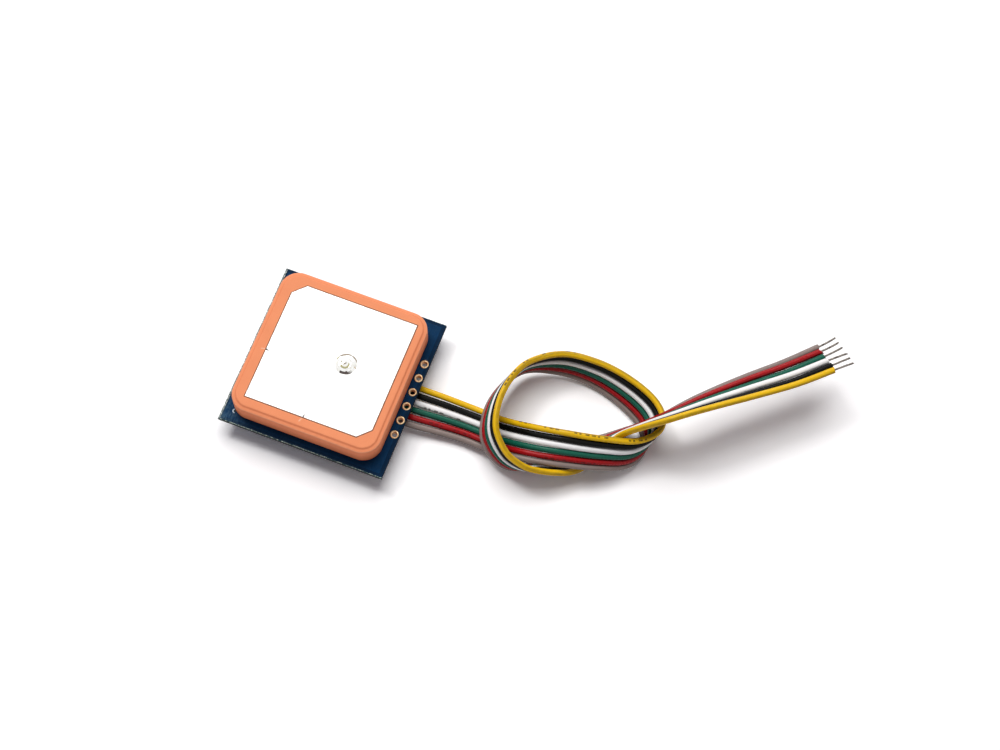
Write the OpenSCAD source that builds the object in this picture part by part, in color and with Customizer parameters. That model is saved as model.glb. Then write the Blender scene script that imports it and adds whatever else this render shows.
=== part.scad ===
// Positioning module: a ceramic patch antenna on a square circuit board, with a knotted six-wire lead.
// Millimetres. The origin is under the board's centre, on the surface that the module rests on.
// X points along the lead, Y along the row of plated holes and Z up.

/* [Circuit board] */
// Width of the board, towards the lead
board_w = 27.9; // [25.5:0.1:30]
// Length of the board, along the row of holes
board_l = 27.7; // [26:0.1:30]
// Thickness of the board
board_t = 0.8; // [0.6:0.1:1.6]
// Height of the space under the board, filled by the header and the screening can
under_h = 3.4; // [3.2:0.1:3.8]

/* [Row of holes] */
// Number of plated holes
hole_count = 6; // [2:1:8]
// Spacing of the holes
hole_pitch = 2.54; // [2:0.02:2.6]
// Bore of a plated hole
hole_d = 0.92; // [0.7:0.02:1]
// Diameter of a ring pad
pad_d = 1.5; // [1.4:0.05:1.6]
// Distance from the row to the edge of the board
pad_inset = 0.85; // [0.85:0.05:1]
// Thickness of a ring pad
plating_t = 0.05; // [0.03:0.01:0.08]

/* [Antenna] */
// Strip of board beside the ceramic, on the side away from the holes
antenna_rim = 1.25; // [1:0.05:2]
// Gap between the ceramic's side and the ring pads
antenna_gap = 0.05; // [0.02:0.01:0.3]
// Height of the ceramic block
antenna_h = 4; // [3:0.5:6]
// Radius of the upright corners of the ceramic
antenna_corner_r = 3.1; // [1.5:0.1:4]
// Width of the bevel around the top of the ceramic
antenna_bevel_w = 0.6; // [0.3:0.1:0.8]
// Depth of the bevel around the top of the ceramic
antenna_bevel_h = 0.3; // [0.2:0.1:0.6]
// Distance from the edge of the ceramic to the patch
patch_margin = 2; // [1.8:0.1:4]
// Legs of the patch's two clipped corners
patch_clip = 2; // [1:0.5:4]
// Offset of the patch on the ceramic, towards the holes
patch_shift_x = 0.25; // [0:0.05:0.4]
// Offset of the patch on the ceramic, along the row of holes
patch_shift_y = 0.1; // [0:0.05:0.4]
// Thickness of the silver layers
silver_t = 0.05; // [0.03:0.01:0.1]
// Length of a tuning cut in the patch
cut_l = 0.7; // [0.3:0.1:1.2]
// Width of a tuning cut
cut_w = 0.25; // [0.2:0.05:0.4]
// Thickness of the foam tape under the antenna
tape_t = 0.4; // [0.2:0.1:1]
// Distance from the edge of the ceramic to the tape and to the ground layer
tape_margin = 0.5; // [0.3:0.1:1.2]

/* [Antenna feed] */
// Distance from the patch's centre to the feed pin, towards the holes
feed_offset = 2.4; // [1.6:0.1:2.5]
// Sideways place of the feed pin on the patch
feed_side = 0.15; // [0:0.05:0.4]
// Diameter of the feed pin
feed_d = 0.8; // [0.6:0.05:1]
// Diameter of the pin's head
feed_head_d = 1.7; // [1.4:0.1:2]
// Height of the pin's head
feed_head_h = 0.4; // [0.35:0.05:0.5]
// Length of the pin below the board
feed_tail = 0.6; // [0.4:0.1:1]
// Clearance around the pin in the ceramic and the board
feed_clear = 0.05; // [0.03:0.01:0.1]
// Diameter of the hole in the ground layer and the tape around the pin
feed_window_d = 2.4; // [1.6:0.1:3]
// Diameter of the solder dome on the patch
dome_d = 3.3; // [2.6:0.1:3.6]
// Height of the solder dome on the patch
dome_h = 0.35; // [0.2:0.05:0.4]
// Diameter of the solder joint under the board
joint_d = 1.6; // [1.3:0.1:1.6]
// Height of the solder joint under the board
joint_h = 0.5; // [0.3:0.1:0.6]

/* [Header and plug] */
// Spacing of the wires in the connector
wire_pitch = 1.25; // [1.2:0.05:1.4]
// Depth of the header
header_depth = 5.4; // [5:0.1:6]
// Thickness of the header's upper and lower walls
header_wall = 0.4; // [0.35:0.05:0.5]
// Thickness of the header's side walls
header_side = 0.6; // [0.4:0.1:0.8]
// Thickness of the header's back wall
header_back = 0.9; // [0.7:0.1:1.2]
// Distance from an end contact to the side of the plug
plug_end = 0.82; // [0.75:0.01:1]
// Length of the plug outside the header
plug_reach = 1.2; // [0.8:0.1:1.6]
// Thickness of the plug behind the terminals
plug_back = 0.8; // [0.6:0.1:1]
// Clearance of the plug in the header
plug_clear = 0.05; // [0.03:0.01:0.1]
// Width of a guide rib on the plug
rib_w = 0.8; // [0.5:0.1:1]
// Length of a guide rib on the plug
rib_l = 2.6; // [1.5:0.1:3]
// Thickness of a header contact
contact_t = 0.36; // [0.3:0.02:0.4]
// Length of a contact inside the header
contact_reach = 2.8; // [2:0.1:3]
// Length of a contact's solder foot
contact_foot = 0.35; // [0.2:0.05:0.4]
// Side of a crimp terminal
terminal_w = 0.8; // [0.7:0.02:0.84]
// Diameter of a terminal's crimped barrel
barrel_d = 0.56; // [0.4:0.02:0.6]
// Clearance of a terminal in the plug and of a contact in its hole
terminal_clear = 0.03; // [0.02:0.01:0.05]
// Width of a header's solder tab
tab_w = 1.8; // [1.2:0.1:2.4]
// Height of a header's solder tab
tab_h = 2; // [1.2:0.1:2.4]
// Foot of a header's solder tab
tab_foot = 0.9; // [0.6:0.1:1.2]
// Thickness of the sheet in the tabs and solder feet
sheet_t = 0.2; // [0.15:0.05:0.25]

/* [Screening can] */
// Strip of board beside the can, on the side away from the holes
can_rim = 1.35; // [0.8:0.05:1.6]
// Gap between the can's inside and the feed pin's solder joint
can_inside_gap = 0.25; // [0.15:0.05:0.5]
// Length of the can
can_l = 17.2; // [16:0.1:17.6]
// Thickness of the can's sheet
can_t = 0.2; // [0.15:0.05:0.25]
// Corner radius of the can
can_r = 0.9; // [0.5:0.1:1.5]
// Gap between the can and the header's solder feet
can_gap = 0.29; // [0.2:0.01:0.4]
// Diameter of a vent hole in the can
vent_d = 1.2; // [0.6:0.1:1.6]
// Spacing of the vent holes
vent_pitch = 3.6; // [2.4:0.1:4]
// Width of a notch in the can's rim
notch_w = 1.4; // [0.8:0.1:2]
// Height of a notch in the can's rim
notch_h = 0.4; // [0.2:0.1:0.6]

/* [Parts on the underside] */
// Side of the receiver chip
chip_size = 7; // [5:0.5:7]
// Height of the receiver chip
chip_h = 0.9; // [0.7:0.1:1]
// Diameter of the backup cell
cell_d = 4.8; // [4:0.1:5]
// Height of the backup cell
cell_h = 1.4; // [1.2:0.1:1.6]
// Width of the cell's tabs
cell_tab_w = 1.6; // [1:0.1:2]
// Length of the regulator's body
regulator_l = 2.9; // [2.5:0.1:3]
// Width of the regulator's body
regulator_w = 1.6; // [1.3:0.1:1.7]
// Height of the regulator's body
regulator_h = 1.1; // [0.9:0.1:1.3]

/* [Lead] */
// Diameter of a wire over its insulation
wire_d = 1; // [0.8:0.05:1]
// Diameter of a stripped end
tip_d = 0.36; // [0.28:0.02:0.5]
// Length of a stripped end
tip_l = 3.4; // [2:0.2:5]

/* [Hidden] */
$fn = 48;
wire_count = 6;
tube_sides = 8;
rings_per_stretch = 2;

// Heights of the stack
board_top = under_h + board_t;
ground_z = board_top + tape_t;
ceramic_z = ground_z + silver_t;
ceramic_top = ceramic_z + antenna_h;
patch_top = ceramic_top + silver_t;

// Places on the board
hole_x = board_w / 2 - pad_inset;
antenna_right = hole_x - pad_d / 2 - antenna_gap;
antenna_left = antenna_rim - board_w / 2;
antenna_size = antenna_right - antenna_left;
antenna_x = (antenna_right + antenna_left) / 2;
patch_size = antenna_size - 2 * patch_margin;
patch_x = antenna_x + patch_shift_x;
side_cut_y = -2;
end_cut_x = -0.5;
feed_x = patch_x + feed_offset;
feed_y = patch_shift_y + feed_side;

// Screening can, beside the feed pin's solder joint
can_right = feed_x + joint_d / 2 + can_inside_gap + can_t;
can_left = can_rim - board_w / 2;
can_w = can_right - can_left;
can_x = (can_right + can_left) / 2;

// Connector, from its solder feet beside the can to the wires
tail_gap = 0.1;
foot_x = can_right + can_gap;
tail_x = foot_x + contact_foot;
back_x = tail_x + contact_t + tail_gap;
seat_x = back_x + header_back;
mouth_x = back_x + header_depth;
exit_x = mouth_x + plug_reach;
exit_z = under_h / 2;
wire_span = (wire_count - 1) * wire_pitch;
plug_half = wire_span / 2 + plug_end;
cavity_half = plug_half + plug_clear;
header_half = cavity_half + header_side;
terminal_setback = 0.5;
contact_end_gap = 0.3;
rib_x = mouth_x - rib_l;
rib_y = wire_span / 2 - wire_pitch / 2;

// Small parts: length, width and height
oscillator = [2.5, 2, 0.9];
crystal = [3.2, 1.5, 0.8];
filter = [1.4, 1.1, 0.55];
amplifier = [1.5, 1, 0.55];
memory = [3, 2, 0.6];
led = [1.6, 0.8, 0.35];
led_lens_h = 0.35;
lid_step = 0.15;
dimple_d = 0.6;
dimple_h = 0.1;
cap_share = 0.22;
cap_step = 0.03;
capacitor = [1.6, 0.8, 0.8];
resistor = [1, 0.5, 0.35];
inductor = [1.6, 1.2, 1];
lead_t = 0.15;
lead_w = 0.4;
lead_pitch = 0.95;
lead_reach = 0.6;
cell_tab_t = 0.15;
cell_tab_reach = 1.2;
cell_step = 0.35;
regulator_taper = 0.12;

// Places of the parts on the underside: x, y and, for the chip parts, the turn
in_can = [can_x, 0];
by_feed = [feed_x, feed_y];
near_corner = [board_w / 2, -board_l / 2];
far_corner = [board_w / 2, board_l / 2];
far_edge = [0, board_l / 2];
chip_at = in_can + [-0.6, 0];
oscillator_at = in_can + [-5.8, 5.4];
crystal_at = in_can + [-5.4, -5.4];
memory_at = in_can + [0.4, -6.2];
filter_at = by_feed + [-1.2, 3.4];
amplifier_at = by_feed + [-0.8, -2.6];
regulator_at = near_corner + [-4.9, 3.5];
led_at = near_corner + [-2, 1.6];
cell_at = far_corner + [-5.5, -3.6];
can_capacitors = [[6.1, 6.4, 90], [-1.5, 6.8, 0], [-6.3, 0.4, 90]];
can_resistors = [[2.6, 6.6, 0], [2.6, 5.4, 0], [4.9, -6.4, 90], [-6.4, -1.6, 0]];
corner_capacitors = [[-8.4, 3.2, 90], [-8.4, 5.4, 90], [-2.6, 4.6, 90]];
corner_resistors = [[-4.4, 1.2, 0], [-6.2, 1.2, 0]];
edge_resistors = [[-1.4, -1.8, 0], [-3.2, -1.8, 0]];
edge_inductors = [[-6.4, -2.2, 0], [2.2, -2.2, 0]];

// Route of the lead's middle line, from the plug to the stripped ends. Each point has its place, the
// lean of the flat lead from level, the gap between neighbouring wires, and how far every other wire
// steps out of the flat.
plug_gap = wire_pitch - wire_d;
straight_l = 3.1;
route = [
    [exit_x, 0, exit_z, 0, plug_gap, 0],
    [exit_x + straight_l, 0, exit_z, 0, plug_gap, 0],
    [18.5, 0.2, 1.7, 5, 0.15, 0],
    [23, 0.3, 1.7, 9, 0.06, 0],
    [28.5, -0.1, 2.7, 16, 0.04, 0],
    [34, -0.2, 4.9, 27, 0.04, 0],
    [39.3, 0.45, 6.1, 38, 0.04, 0],
    [44.5, 1.85, 5.8, 50, 0.04, 0],
    [48.6, 4, 4.1, 68, 0.04, 0],
    [50.7, 7.1, 3.2, 97, 0.04, 0],
    [50.5, 9.9, 2.8, 126, 0.04, 0],
    [48.4, 12.3, 2.7, 129, 0.04, 0],
    [43.9, 14.2, 2.9, 122, 0.04, 0],
    [38.7, 15.1, 3.3, 112, 0.04, 0],
    [33.2, 14.5, 3.8, 103, 0.04, 0],
    [28.4, 11.7, 4.6, 82, 0.04, 0],
    [26.4, 7.2, 5.5, 73, 0.04, 0],
    [26.1, 2.6, 6.1, 67, 0.04, 0],
    [27.3, -1.5, 5.8, 68, 0.04, 0],
    [30.4, -4, 4.6, 83, 0.04, 0],
    [33.8, -4, 3.3, 106, 0.04, 0],
    [37, -2.1, 2.4, 134, 0.04, 0],
    [40.1, 0.5, 1.7, 155, 0.04, 0],
    [43.1, 3.6, 2.3, 137, 0.04, 0],
    [46.1, 6.7, 3.35, 114, 0.04, -0.06],
    [49.7, 8.65, 6.8, 113, 0.04, -0.12],
    [53.4, 10.9, 9.5, 123, 0.04, -0.14],
    [57.8, 14.9, 9.7, 137, 0.04, -0.2],
    [63, 19.6, 9.3, 150, 0.06, -0.3],
    [68, 24, 9, 157, 0.08, -0.3],
    [72.4, 28.4, 8.8, 159, 0.1, -0.1],
];

function unit(v) = v / norm(v);
function place(p) = [p[0], p[1], p[2]];

// A smooth curve through four points, from b to c as t goes from 0 to 1
function blend(a, b, c, d, t) =
    (2 * b + (c - a) * t + (2 * a - 5 * b + 4 * c - d) * t * t + (3 * b - a - 3 * c + d) * t * t * t) / 2;

route_end = len(route) - 1;
guided = concat([2 * route[0] - route[1]], route, [2 * route[route_end] - route[route_end - 1]]);
middle_line = concat(
    [for (i = [1:route_end], k = [0:rings_per_stretch - 1])
        blend(guided[i - 1], guided[i], guided[i + 1], guided[i + 2], k / rings_per_stretch)],
    [route[route_end]]
);
last_ring = len(middle_line) - 1;

// Direction of a line at its point k. Every line leaves the plug square to the plug's face.
function heading(line, k) =
    k == 0 ? [1, 0, 0] : unit(place(line[min(k + 1, last_ring)]) - place(line[k - 1]));
// The part of v that is square to the direction t
function square_to(v, t) = unit(v - (v * t) * t);
// Direction across the flat lead, towards the yellow wire
function across(k) =
    let (t = heading(middle_line, k), left = unit([-t[1], t[0], 0]), lean = middle_line[k][3])
    square_to(cos(lean) * left + [0, 0, sin(lean)], t);
// Centre line of one wire, counted from the yellow one
function wire_line(i) = [for (k = [0:last_ring])
    let (step = (i % 2 == 0 ? 1 : -1) * middle_line[k][5] / 2)
    place(middle_line[k]) + ((wire_count - 1) / 2 - i) * (wire_d + middle_line[k][4]) * across(k)
        + step * cross(heading(middle_line, k), across(k))];

// A plate with rounded corners, as a flat outline
module rounded_square(size, r) {
    square([size[0] - 2 * r, size[1]], center = true);
    square([size[0], size[1] - 2 * r], center = true);
    for (x = [-1, 1], y = [-1, 1])
        translate([x * (size[0] / 2 - r), y * (size[1] / 2 - r)]) circle(r = r);
}

// A block whose top edge is bevelled and whose upright corners are round
module bevelled_block(size, h, r, bevel_w, bevel_h) {
    half = size / 2;
    wall_h = h - bevel_h;
    profile = [
        [-half, 0], [half, 0], [half, wall_h], [half - bevel_w, h], [bevel_w - half, h], [-half, wall_h],
    ];
    for (turn = [0, 90])
        rotate([90, 0, turn]) linear_extrude(size - 2 * r, center = true) polygon(profile);
    for (x = [-1, 1], y = [-1, 1]) translate([x * (half - r), y * (half - r), 0]) {
        cylinder(r = r, h = wall_h);
        translate([0, 0, wall_h]) cylinder(r1 = r, r2 = r - bevel_w, h = bevel_h);
    }
}

// Puts its children at every plated hole
module at_holes() {
    for (i = [0:hole_count - 1]) translate([hole_x, (i - (hole_count - 1) / 2) * hole_pitch, 0]) children();
}

// Puts its children at every wire of the connector
module at_wires() {
    for (i = [0:wire_count - 1]) translate([0, wire_span / 2 - i * wire_pitch, 0]) children();
}

// A box from one corner to the opposite one
module box(from, to) {
    translate(from) cube(to - from);
}

// A block soldered under the board, with its centre at [x, y]
module under_block(at, size) {
    translate([at[0], at[1], under_h - size[2] / 2]) cube(size, center = true);
}

// A chip part with two raised end caps, soldered under the board
module capped_chip(at, size) {
    cap = size[0] * cap_share;
    translate([at[0], at[1], under_h - size[2] / 2]) rotate([0, 0, at[2]]) {
        cube([size[0] - cap, size[1] - 2 * cap_step, size[2] - 2 * cap_step], center = true);
        for (x = [-1, 1])
            translate([x * (size[0] - cap) / 2, 0, 0]) cube([cap, size[1], size[2]], center = true);
    }
}

// A shallow ring of solder around a pin, curved like a drop
module solder_ring(d, inner_d, h) {
    r = (d * d / 4 + h * h) / (2 * h);
    rotate_extrude() intersection() {
        translate([0, h - r]) circle(r = r, $fn = 240);
        translate([inner_d / 2, 0]) square([(d - inner_d) / 2, h]);
    }
}

// One wire of the lead, as a tube along its centre line
module wire(i) {
    line = wire_line(i);
    points = [for (k = [0:last_ring], s = [0:tube_sides - 1])
        let (t = heading(line, k), u = square_to(across(k), t), a = (s + 0.5) * 360 / tube_sides)
        line[k] + wire_d / 2 * (cos(a) * u + sin(a) * cross(t, u))];
    sides = [for (k = [0:last_ring - 1], s = [0:tube_sides - 1])
        let (n = (s + 1) % tube_sides, base = k * tube_sides)
        [base + s, base + tube_sides + s, base + tube_sides + n, base + n]];
    start = [for (s = [0:tube_sides - 1]) s];
    finish = [for (s = [tube_sides - 1:-1:0]) last_ring * tube_sides + s];
    polyhedron(points, concat(sides, [start, finish]));
}

module circuit_board() {
    color("midnightblue") difference() {
        translate([0, 0, under_h + board_t / 2]) cube([board_w, board_l, board_t], center = true);
        at_holes() translate([0, 0, under_h - board_t]) cylinder(d = hole_d, h = 3 * board_t);
        translate([feed_x, feed_y, under_h - board_t]) cylinder(d = feed_d + 2 * feed_clear, h = 3 * board_t);
    }
}

module plated_holes() {
    color("goldenrod") at_holes() difference() {
        for (z = [under_h - plating_t, board_top]) translate([0, 0, z]) cylinder(d = pad_d, h = plating_t);
        translate([0, 0, under_h - board_t]) cylinder(d = hole_d, h = 3 * board_t);
    }
}

module antenna_ceramic() {
    color("sandybrown") difference() {
        translate([antenna_x, 0, ceramic_z])
            bevelled_block(antenna_size, antenna_h, antenna_corner_r, antenna_bevel_w, antenna_bevel_h);
        translate([feed_x, feed_y, 0]) cylinder(d = feed_d + 2 * feed_clear, h = 2 * ceramic_top);
    }
}

module antenna_patch() {
    half = patch_size / 2;
    clip = half - patch_clip;
    outline = [[-half, -half], [clip, -half], [half, -clip], [half, half], [-clip, half], [-half, clip]];
    color("silver") translate([patch_x, patch_shift_y, ceramic_top]) difference() {
        linear_extrude(silver_t) polygon(outline);
        translate([feed_offset, feed_side, -silver_t])
            cylinder(d = feed_d + 2 * feed_clear, h = 3 * silver_t);
        translate([-half, side_cut_y, 0]) cube([2 * cut_l, cut_w, 3 * silver_t], center = true);
        translate([end_cut_x, -half, 0]) cube([cut_w, 2 * cut_l, 3 * silver_t], center = true);
    }
}

module antenna_ground() {
    size = antenna_size - 2 * tape_margin;
    color("silver") difference() {
        translate([antenna_x, 0, ground_z])
            linear_extrude(silver_t) rounded_square([size, size], antenna_corner_r - tape_margin);
        translate([feed_x, feed_y, board_top]) cylinder(d = feed_window_d, h = ceramic_top);
    }
}

module antenna_tape() {
    size = antenna_size - 2 * tape_margin;
    color("whitesmoke") difference() {
        translate([antenna_x, 0, board_top])
            linear_extrude(tape_t) rounded_square([size, size], antenna_corner_r - tape_margin);
        translate([feed_x, feed_y, under_h]) cylinder(d = feed_window_d, h = ceramic_top);
    }
}

module feed_pin() {
    color("gainsboro") translate([feed_x, feed_y, 0]) {
        translate([0, 0, under_h - feed_tail]) cylinder(d = feed_d, h = patch_top - under_h + feed_tail);
        translate([0, 0, patch_top]) cylinder(d = feed_head_d, h = feed_head_h);
    }
}

module feed_solder_top() {
    color("lightgray") translate([feed_x, feed_y, patch_top]) solder_ring(dome_d, feed_head_d, dome_h);
}

module feed_solder_bottom() {
    color("lightgray") translate([feed_x, feed_y, under_h]) difference() {
        rotate([180, 0, 0]) cylinder(d1 = joint_d, d2 = feed_d + 2 * feed_clear, h = joint_h);
        translate([0, 0, -2 * feed_tail]) cylinder(d = feed_d, h = 3 * feed_tail);
    }
}

module header_housing() {
    slot_w = rib_w + 2 * plug_clear;
    contact_hole = contact_t + 2 * terminal_clear;
    color("ivory") difference() {
        box([back_x, -header_half, 0], [mouth_x, header_half, under_h]);
        box([seat_x, -cavity_half, header_wall], [2 * mouth_x, cavity_half, under_h - header_wall]);
        for (y = [-rib_y, rib_y])
            box([rib_x - plug_clear, y - slot_w / 2, -under_h], [2 * mouth_x, y + slot_w / 2, exit_z]);
        at_wires() translate([seat_x - header_back, 0, exit_z])
            cube([3 * header_back, contact_hole, contact_hole], center = true);
    }
}

module header_contacts() {
    low = exit_z - contact_t / 2;
    high = exit_z + contact_t / 2;
    tip_x = seat_x + contact_reach;
    profile = [
        [tip_x, low], [tail_x, low], [tail_x, under_h - sheet_t], [foot_x, under_h - sheet_t],
        [foot_x, under_h], [tail_x + contact_t, under_h], [tail_x + contact_t, high], [tip_x, high],
    ];
    color("gold") at_wires() rotate([90, 0, 0]) linear_extrude(contact_t, center = true) polygon(profile);
}

module header_tabs() {
    inner = header_half;
    profile = [
        [inner, under_h - tab_h], [inner + sheet_t, under_h - tab_h], [inner + sheet_t, under_h - sheet_t],
        [inner + tab_foot, under_h - sheet_t], [inner + tab_foot, under_h], [inner, under_h],
    ];
    color("silver") for (side = [0, 1]) mirror([0, side, 0])
        translate([mouth_x - header_depth / 2, 0, 0]) rotate([90, 0, 90])
            linear_extrude(tab_w, center = true) polygon(profile);
}

module plug_housing() {
    low = header_wall + plug_clear;
    cavity_w = terminal_w + 2 * terminal_clear;
    cavity_l = exit_x - plug_back - seat_x;
    color("white") difference() {
        union() {
            box([seat_x, -plug_half, low], [exit_x, plug_half, under_h - low]);
            for (y = [-rib_y, rib_y])
                box([rib_x, y - rib_w / 2, plug_clear], [exit_x, y + rib_w / 2, exit_z]);
        }
        at_wires() translate([seat_x, 0, exit_z]) {
            cube([2 * cavity_l, cavity_w, cavity_w], center = true);
            rotate([0, 90, 0]) cylinder(d = barrel_d + 2 * terminal_clear, h = 2 * (exit_x - seat_x));
        }
    }
}

module crimp_terminals() {
    hole = contact_t + 2 * terminal_clear;
    front_x = seat_x + terminal_setback;
    shoulder_x = exit_x - plug_back;
    hole_end = seat_x + contact_reach + contact_end_gap;
    color("silver") at_wires() translate([0, 0, exit_z]) difference() {
        union() {
            box([front_x, -terminal_w / 2, -terminal_w / 2], [shoulder_x, terminal_w / 2, terminal_w / 2]);
            translate([front_x, 0, 0]) rotate([0, 90, 0]) cylinder(d = barrel_d, h = exit_x - front_x);
        }
        box([seat_x, -hole / 2, -hole / 2], [hole_end, hole / 2, hole / 2]);
    }
}

module wire_yellow() {
    color("gold") wire(0);
}

module wire_black() {
    color("black") wire(1);
}

module wire_white() {
    color("white") wire(2);
}

module wire_green() {
    color("seagreen") wire(3);
}

module wire_red() {
    color("firebrick") wire(4);
}

module wire_grey() {
    color("lightgray") wire(5);
}

module wire_tips() {
    color("gainsboro") for (i = [0:wire_count - 1]) {
        line = wire_line(i);
        t = heading(line, last_ring);
        translate(line[last_ring]) rotate([0, acos(t[2]), atan2(t[1], t[0])]) cylinder(d = tip_d, h = tip_l);
    }
}

module shield_can() {
    color("silver") translate([can_x, 0, 0]) difference() {
        linear_extrude(under_h) rounded_square([can_w, can_l], can_r);
        translate([0, 0, can_t])
            linear_extrude(under_h) rounded_square([can_w - 2 * can_t, can_l - 2 * can_t], can_r - can_t);
        for (i = [-1:1], j = [-1:1])
            translate([i * vent_pitch, j * vent_pitch, -can_t]) cylinder(d = vent_d, h = 3 * can_t);
        for (side = [-1, 1]) {
            translate([0, side * can_l / 4, under_h]) cube([2 * can_w, notch_w, 2 * notch_h], center = true);
            translate([side * can_w / 4, 0, under_h]) cube([notch_w, 2 * can_l, 2 * notch_h], center = true);
        }
    }
}

module receiver_chip() {
    corner = chip_size / 2 - dimple_d;
    color("dimgray") difference() {
        under_block(chip_at, [chip_size, chip_size, chip_h]);
        translate(chip_at) translate([-corner, corner, under_h - chip_h - dimple_h])
            cylinder(d = dimple_d, h = 2 * dimple_h);
    }
}

// A metal lid on a slightly larger ceramic base
module lidded_part(at, size) {
    under_block(at, [size[0], size[1], size[2] / 2]);
    under_block(at, [size[0] - 2 * lid_step, size[1] - 2 * lid_step, size[2]]);
}

module reference_oscillator() {
    color("silver") lidded_part(oscillator_at, oscillator);
}

module clock_crystal() {
    color("silver") lidded_part(crystal_at, crystal);
}

module saw_filter() {
    color("gainsboro") lidded_part(filter_at, filter);
}

module low_noise_amplifier() {
    color("dimgray") under_block(amplifier_at, amplifier);
}

module flash_memory() {
    color("dimgray") under_block(memory_at, memory);
}

module voltage_regulator() {
    half = regulator_w / 2;
    profile = [
        [-half, under_h - lead_t], [regulator_taper - half, under_h - regulator_h],
        [half - regulator_taper, under_h - regulator_h], [half, under_h - lead_t],
    ];
    color("dimgray") translate(regulator_at) rotate([90, 0, 90])
        linear_extrude(regulator_l, center = true) polygon(profile);
}

module regulator_leads() {
    leads = [[-1, -1], [0, -1], [1, -1], [-1, 1], [1, 1]];
    color("silver") translate(regulator_at) for (lead = leads)
        translate([lead[0] * lead_pitch, lead[1] * regulator_w / 2, under_h - lead_t / 2])
            cube([lead_w, 2 * lead_reach, lead_t], center = true);
}

module backup_cell() {
    face = under_h - cell_tab_t;
    color("silver") translate(cell_at) {
        translate([0, 0, face - cell_h + cell_step]) cylinder(d = cell_d, h = cell_h - cell_step);
        translate([0, 0, face - cell_h]) cylinder(d = cell_d - 2 * cell_step, h = cell_h);
    }
}

module backup_cell_tabs() {
    low = under_h - 2 * cell_tab_t - cell_h;
    foot = under_h - cell_tab_t;
    edge = cell_d / 2 + cell_tab_reach;
    leg = cell_d / 2 + cell_tab_t;
    outer_tab = [
        [0, low], [leg + cell_tab_t, low], [leg + cell_tab_t, foot], [edge, foot],
        [edge, under_h], [leg, under_h], [leg, low + cell_tab_t], [0, low + cell_tab_t],
    ];
    color("silver") translate(cell_at) {
        rotate([90, 0, 0]) linear_extrude(cell_tab_w, center = true) polygon(outer_tab);
        box([-edge, -cell_tab_w / 2, foot], [0, cell_tab_w / 2, under_h]);
    }
}

module status_led() {
    color("honeydew") {
        under_block(led_at, led);
        under_block(led_at, [led[0] / 2, led[1], led[2] + led_lens_h]);
    }
}

module chip_capacitors() {
    color("tan") {
        translate(in_can) for (at = can_capacitors) capped_chip(at, capacitor);
        translate(near_corner) for (at = corner_capacitors) capped_chip(at, capacitor);
    }
}

module chip_resistors() {
    color("black") {
        translate(in_can) for (at = can_resistors) capped_chip(at, resistor);
        translate(near_corner) for (at = corner_resistors) capped_chip(at, resistor);
        translate(far_edge) for (at = edge_resistors) capped_chip(at, resistor);
    }
}

module chip_inductors() {
    color("dimgray") translate(far_edge) for (at = edge_inductors) capped_chip(at, inductor);
}

circuit_board();
plated_holes();
antenna_ceramic();
antenna_patch();
antenna_ground();
antenna_tape();
feed_pin();
feed_solder_top();
feed_solder_bottom();
header_housing();
header_contacts();
header_tabs();
plug_housing();
crimp_terminals();
wire_yellow();
wire_black();
wire_white();
wire_green();
wire_red();
wire_grey();
wire_tips();
shield_can();
receiver_chip();
reference_oscillator();
clock_crystal();
saw_filter();
low_noise_amplifier();
flash_memory();
voltage_regulator();
regulator_leads();
backup_cell();
backup_cell_tabs();
status_led();
chip_capacitors();
chip_resistors();
chip_inductors();
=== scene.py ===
"""Looks of a positioning module with a ceramic patch antenna and a knotted six-wire lead."""
import math
import random

import bpy
import numpy as np
from mathutils import Matrix, Vector
from mathutils.geometry import delaunay_2d_cdt


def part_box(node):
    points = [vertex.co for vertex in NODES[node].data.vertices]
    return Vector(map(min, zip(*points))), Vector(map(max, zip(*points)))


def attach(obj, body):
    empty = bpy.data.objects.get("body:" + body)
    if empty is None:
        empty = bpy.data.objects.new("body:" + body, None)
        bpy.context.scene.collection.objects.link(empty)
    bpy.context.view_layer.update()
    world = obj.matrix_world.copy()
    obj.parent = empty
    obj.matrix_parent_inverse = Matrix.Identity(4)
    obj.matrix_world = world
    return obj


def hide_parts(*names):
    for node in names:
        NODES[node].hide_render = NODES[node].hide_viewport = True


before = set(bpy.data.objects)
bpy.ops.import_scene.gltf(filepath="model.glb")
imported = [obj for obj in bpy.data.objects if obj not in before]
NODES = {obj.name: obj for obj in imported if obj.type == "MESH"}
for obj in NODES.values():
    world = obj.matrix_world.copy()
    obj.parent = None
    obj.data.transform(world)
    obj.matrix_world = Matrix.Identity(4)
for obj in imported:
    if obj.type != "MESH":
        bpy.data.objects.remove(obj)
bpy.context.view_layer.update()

MM = 0.001
SCENE = bpy.context.scene
RANDOM = random.Random(11)


def srgb(*screen):
    """A colour given as it looks on screen, 0 to 255, as the linear colour that a shader takes."""
    shares = [c / 255 for c in screen]
    return (*(c / 12.92 if c <= 0.04045 else ((c + 0.055) / 1.055) ** 2.4 for c in shares), 1.0)


# Node materials

SOCKETS = {
    "colour": "Base Color", "rough": "Roughness", "metal": "Metallic", "shine": "Specular IOR Level",
    "soft": "Subsurface Weight", "soft_depth": "Subsurface Scale", "turned": "Anisotropic",
}


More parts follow.
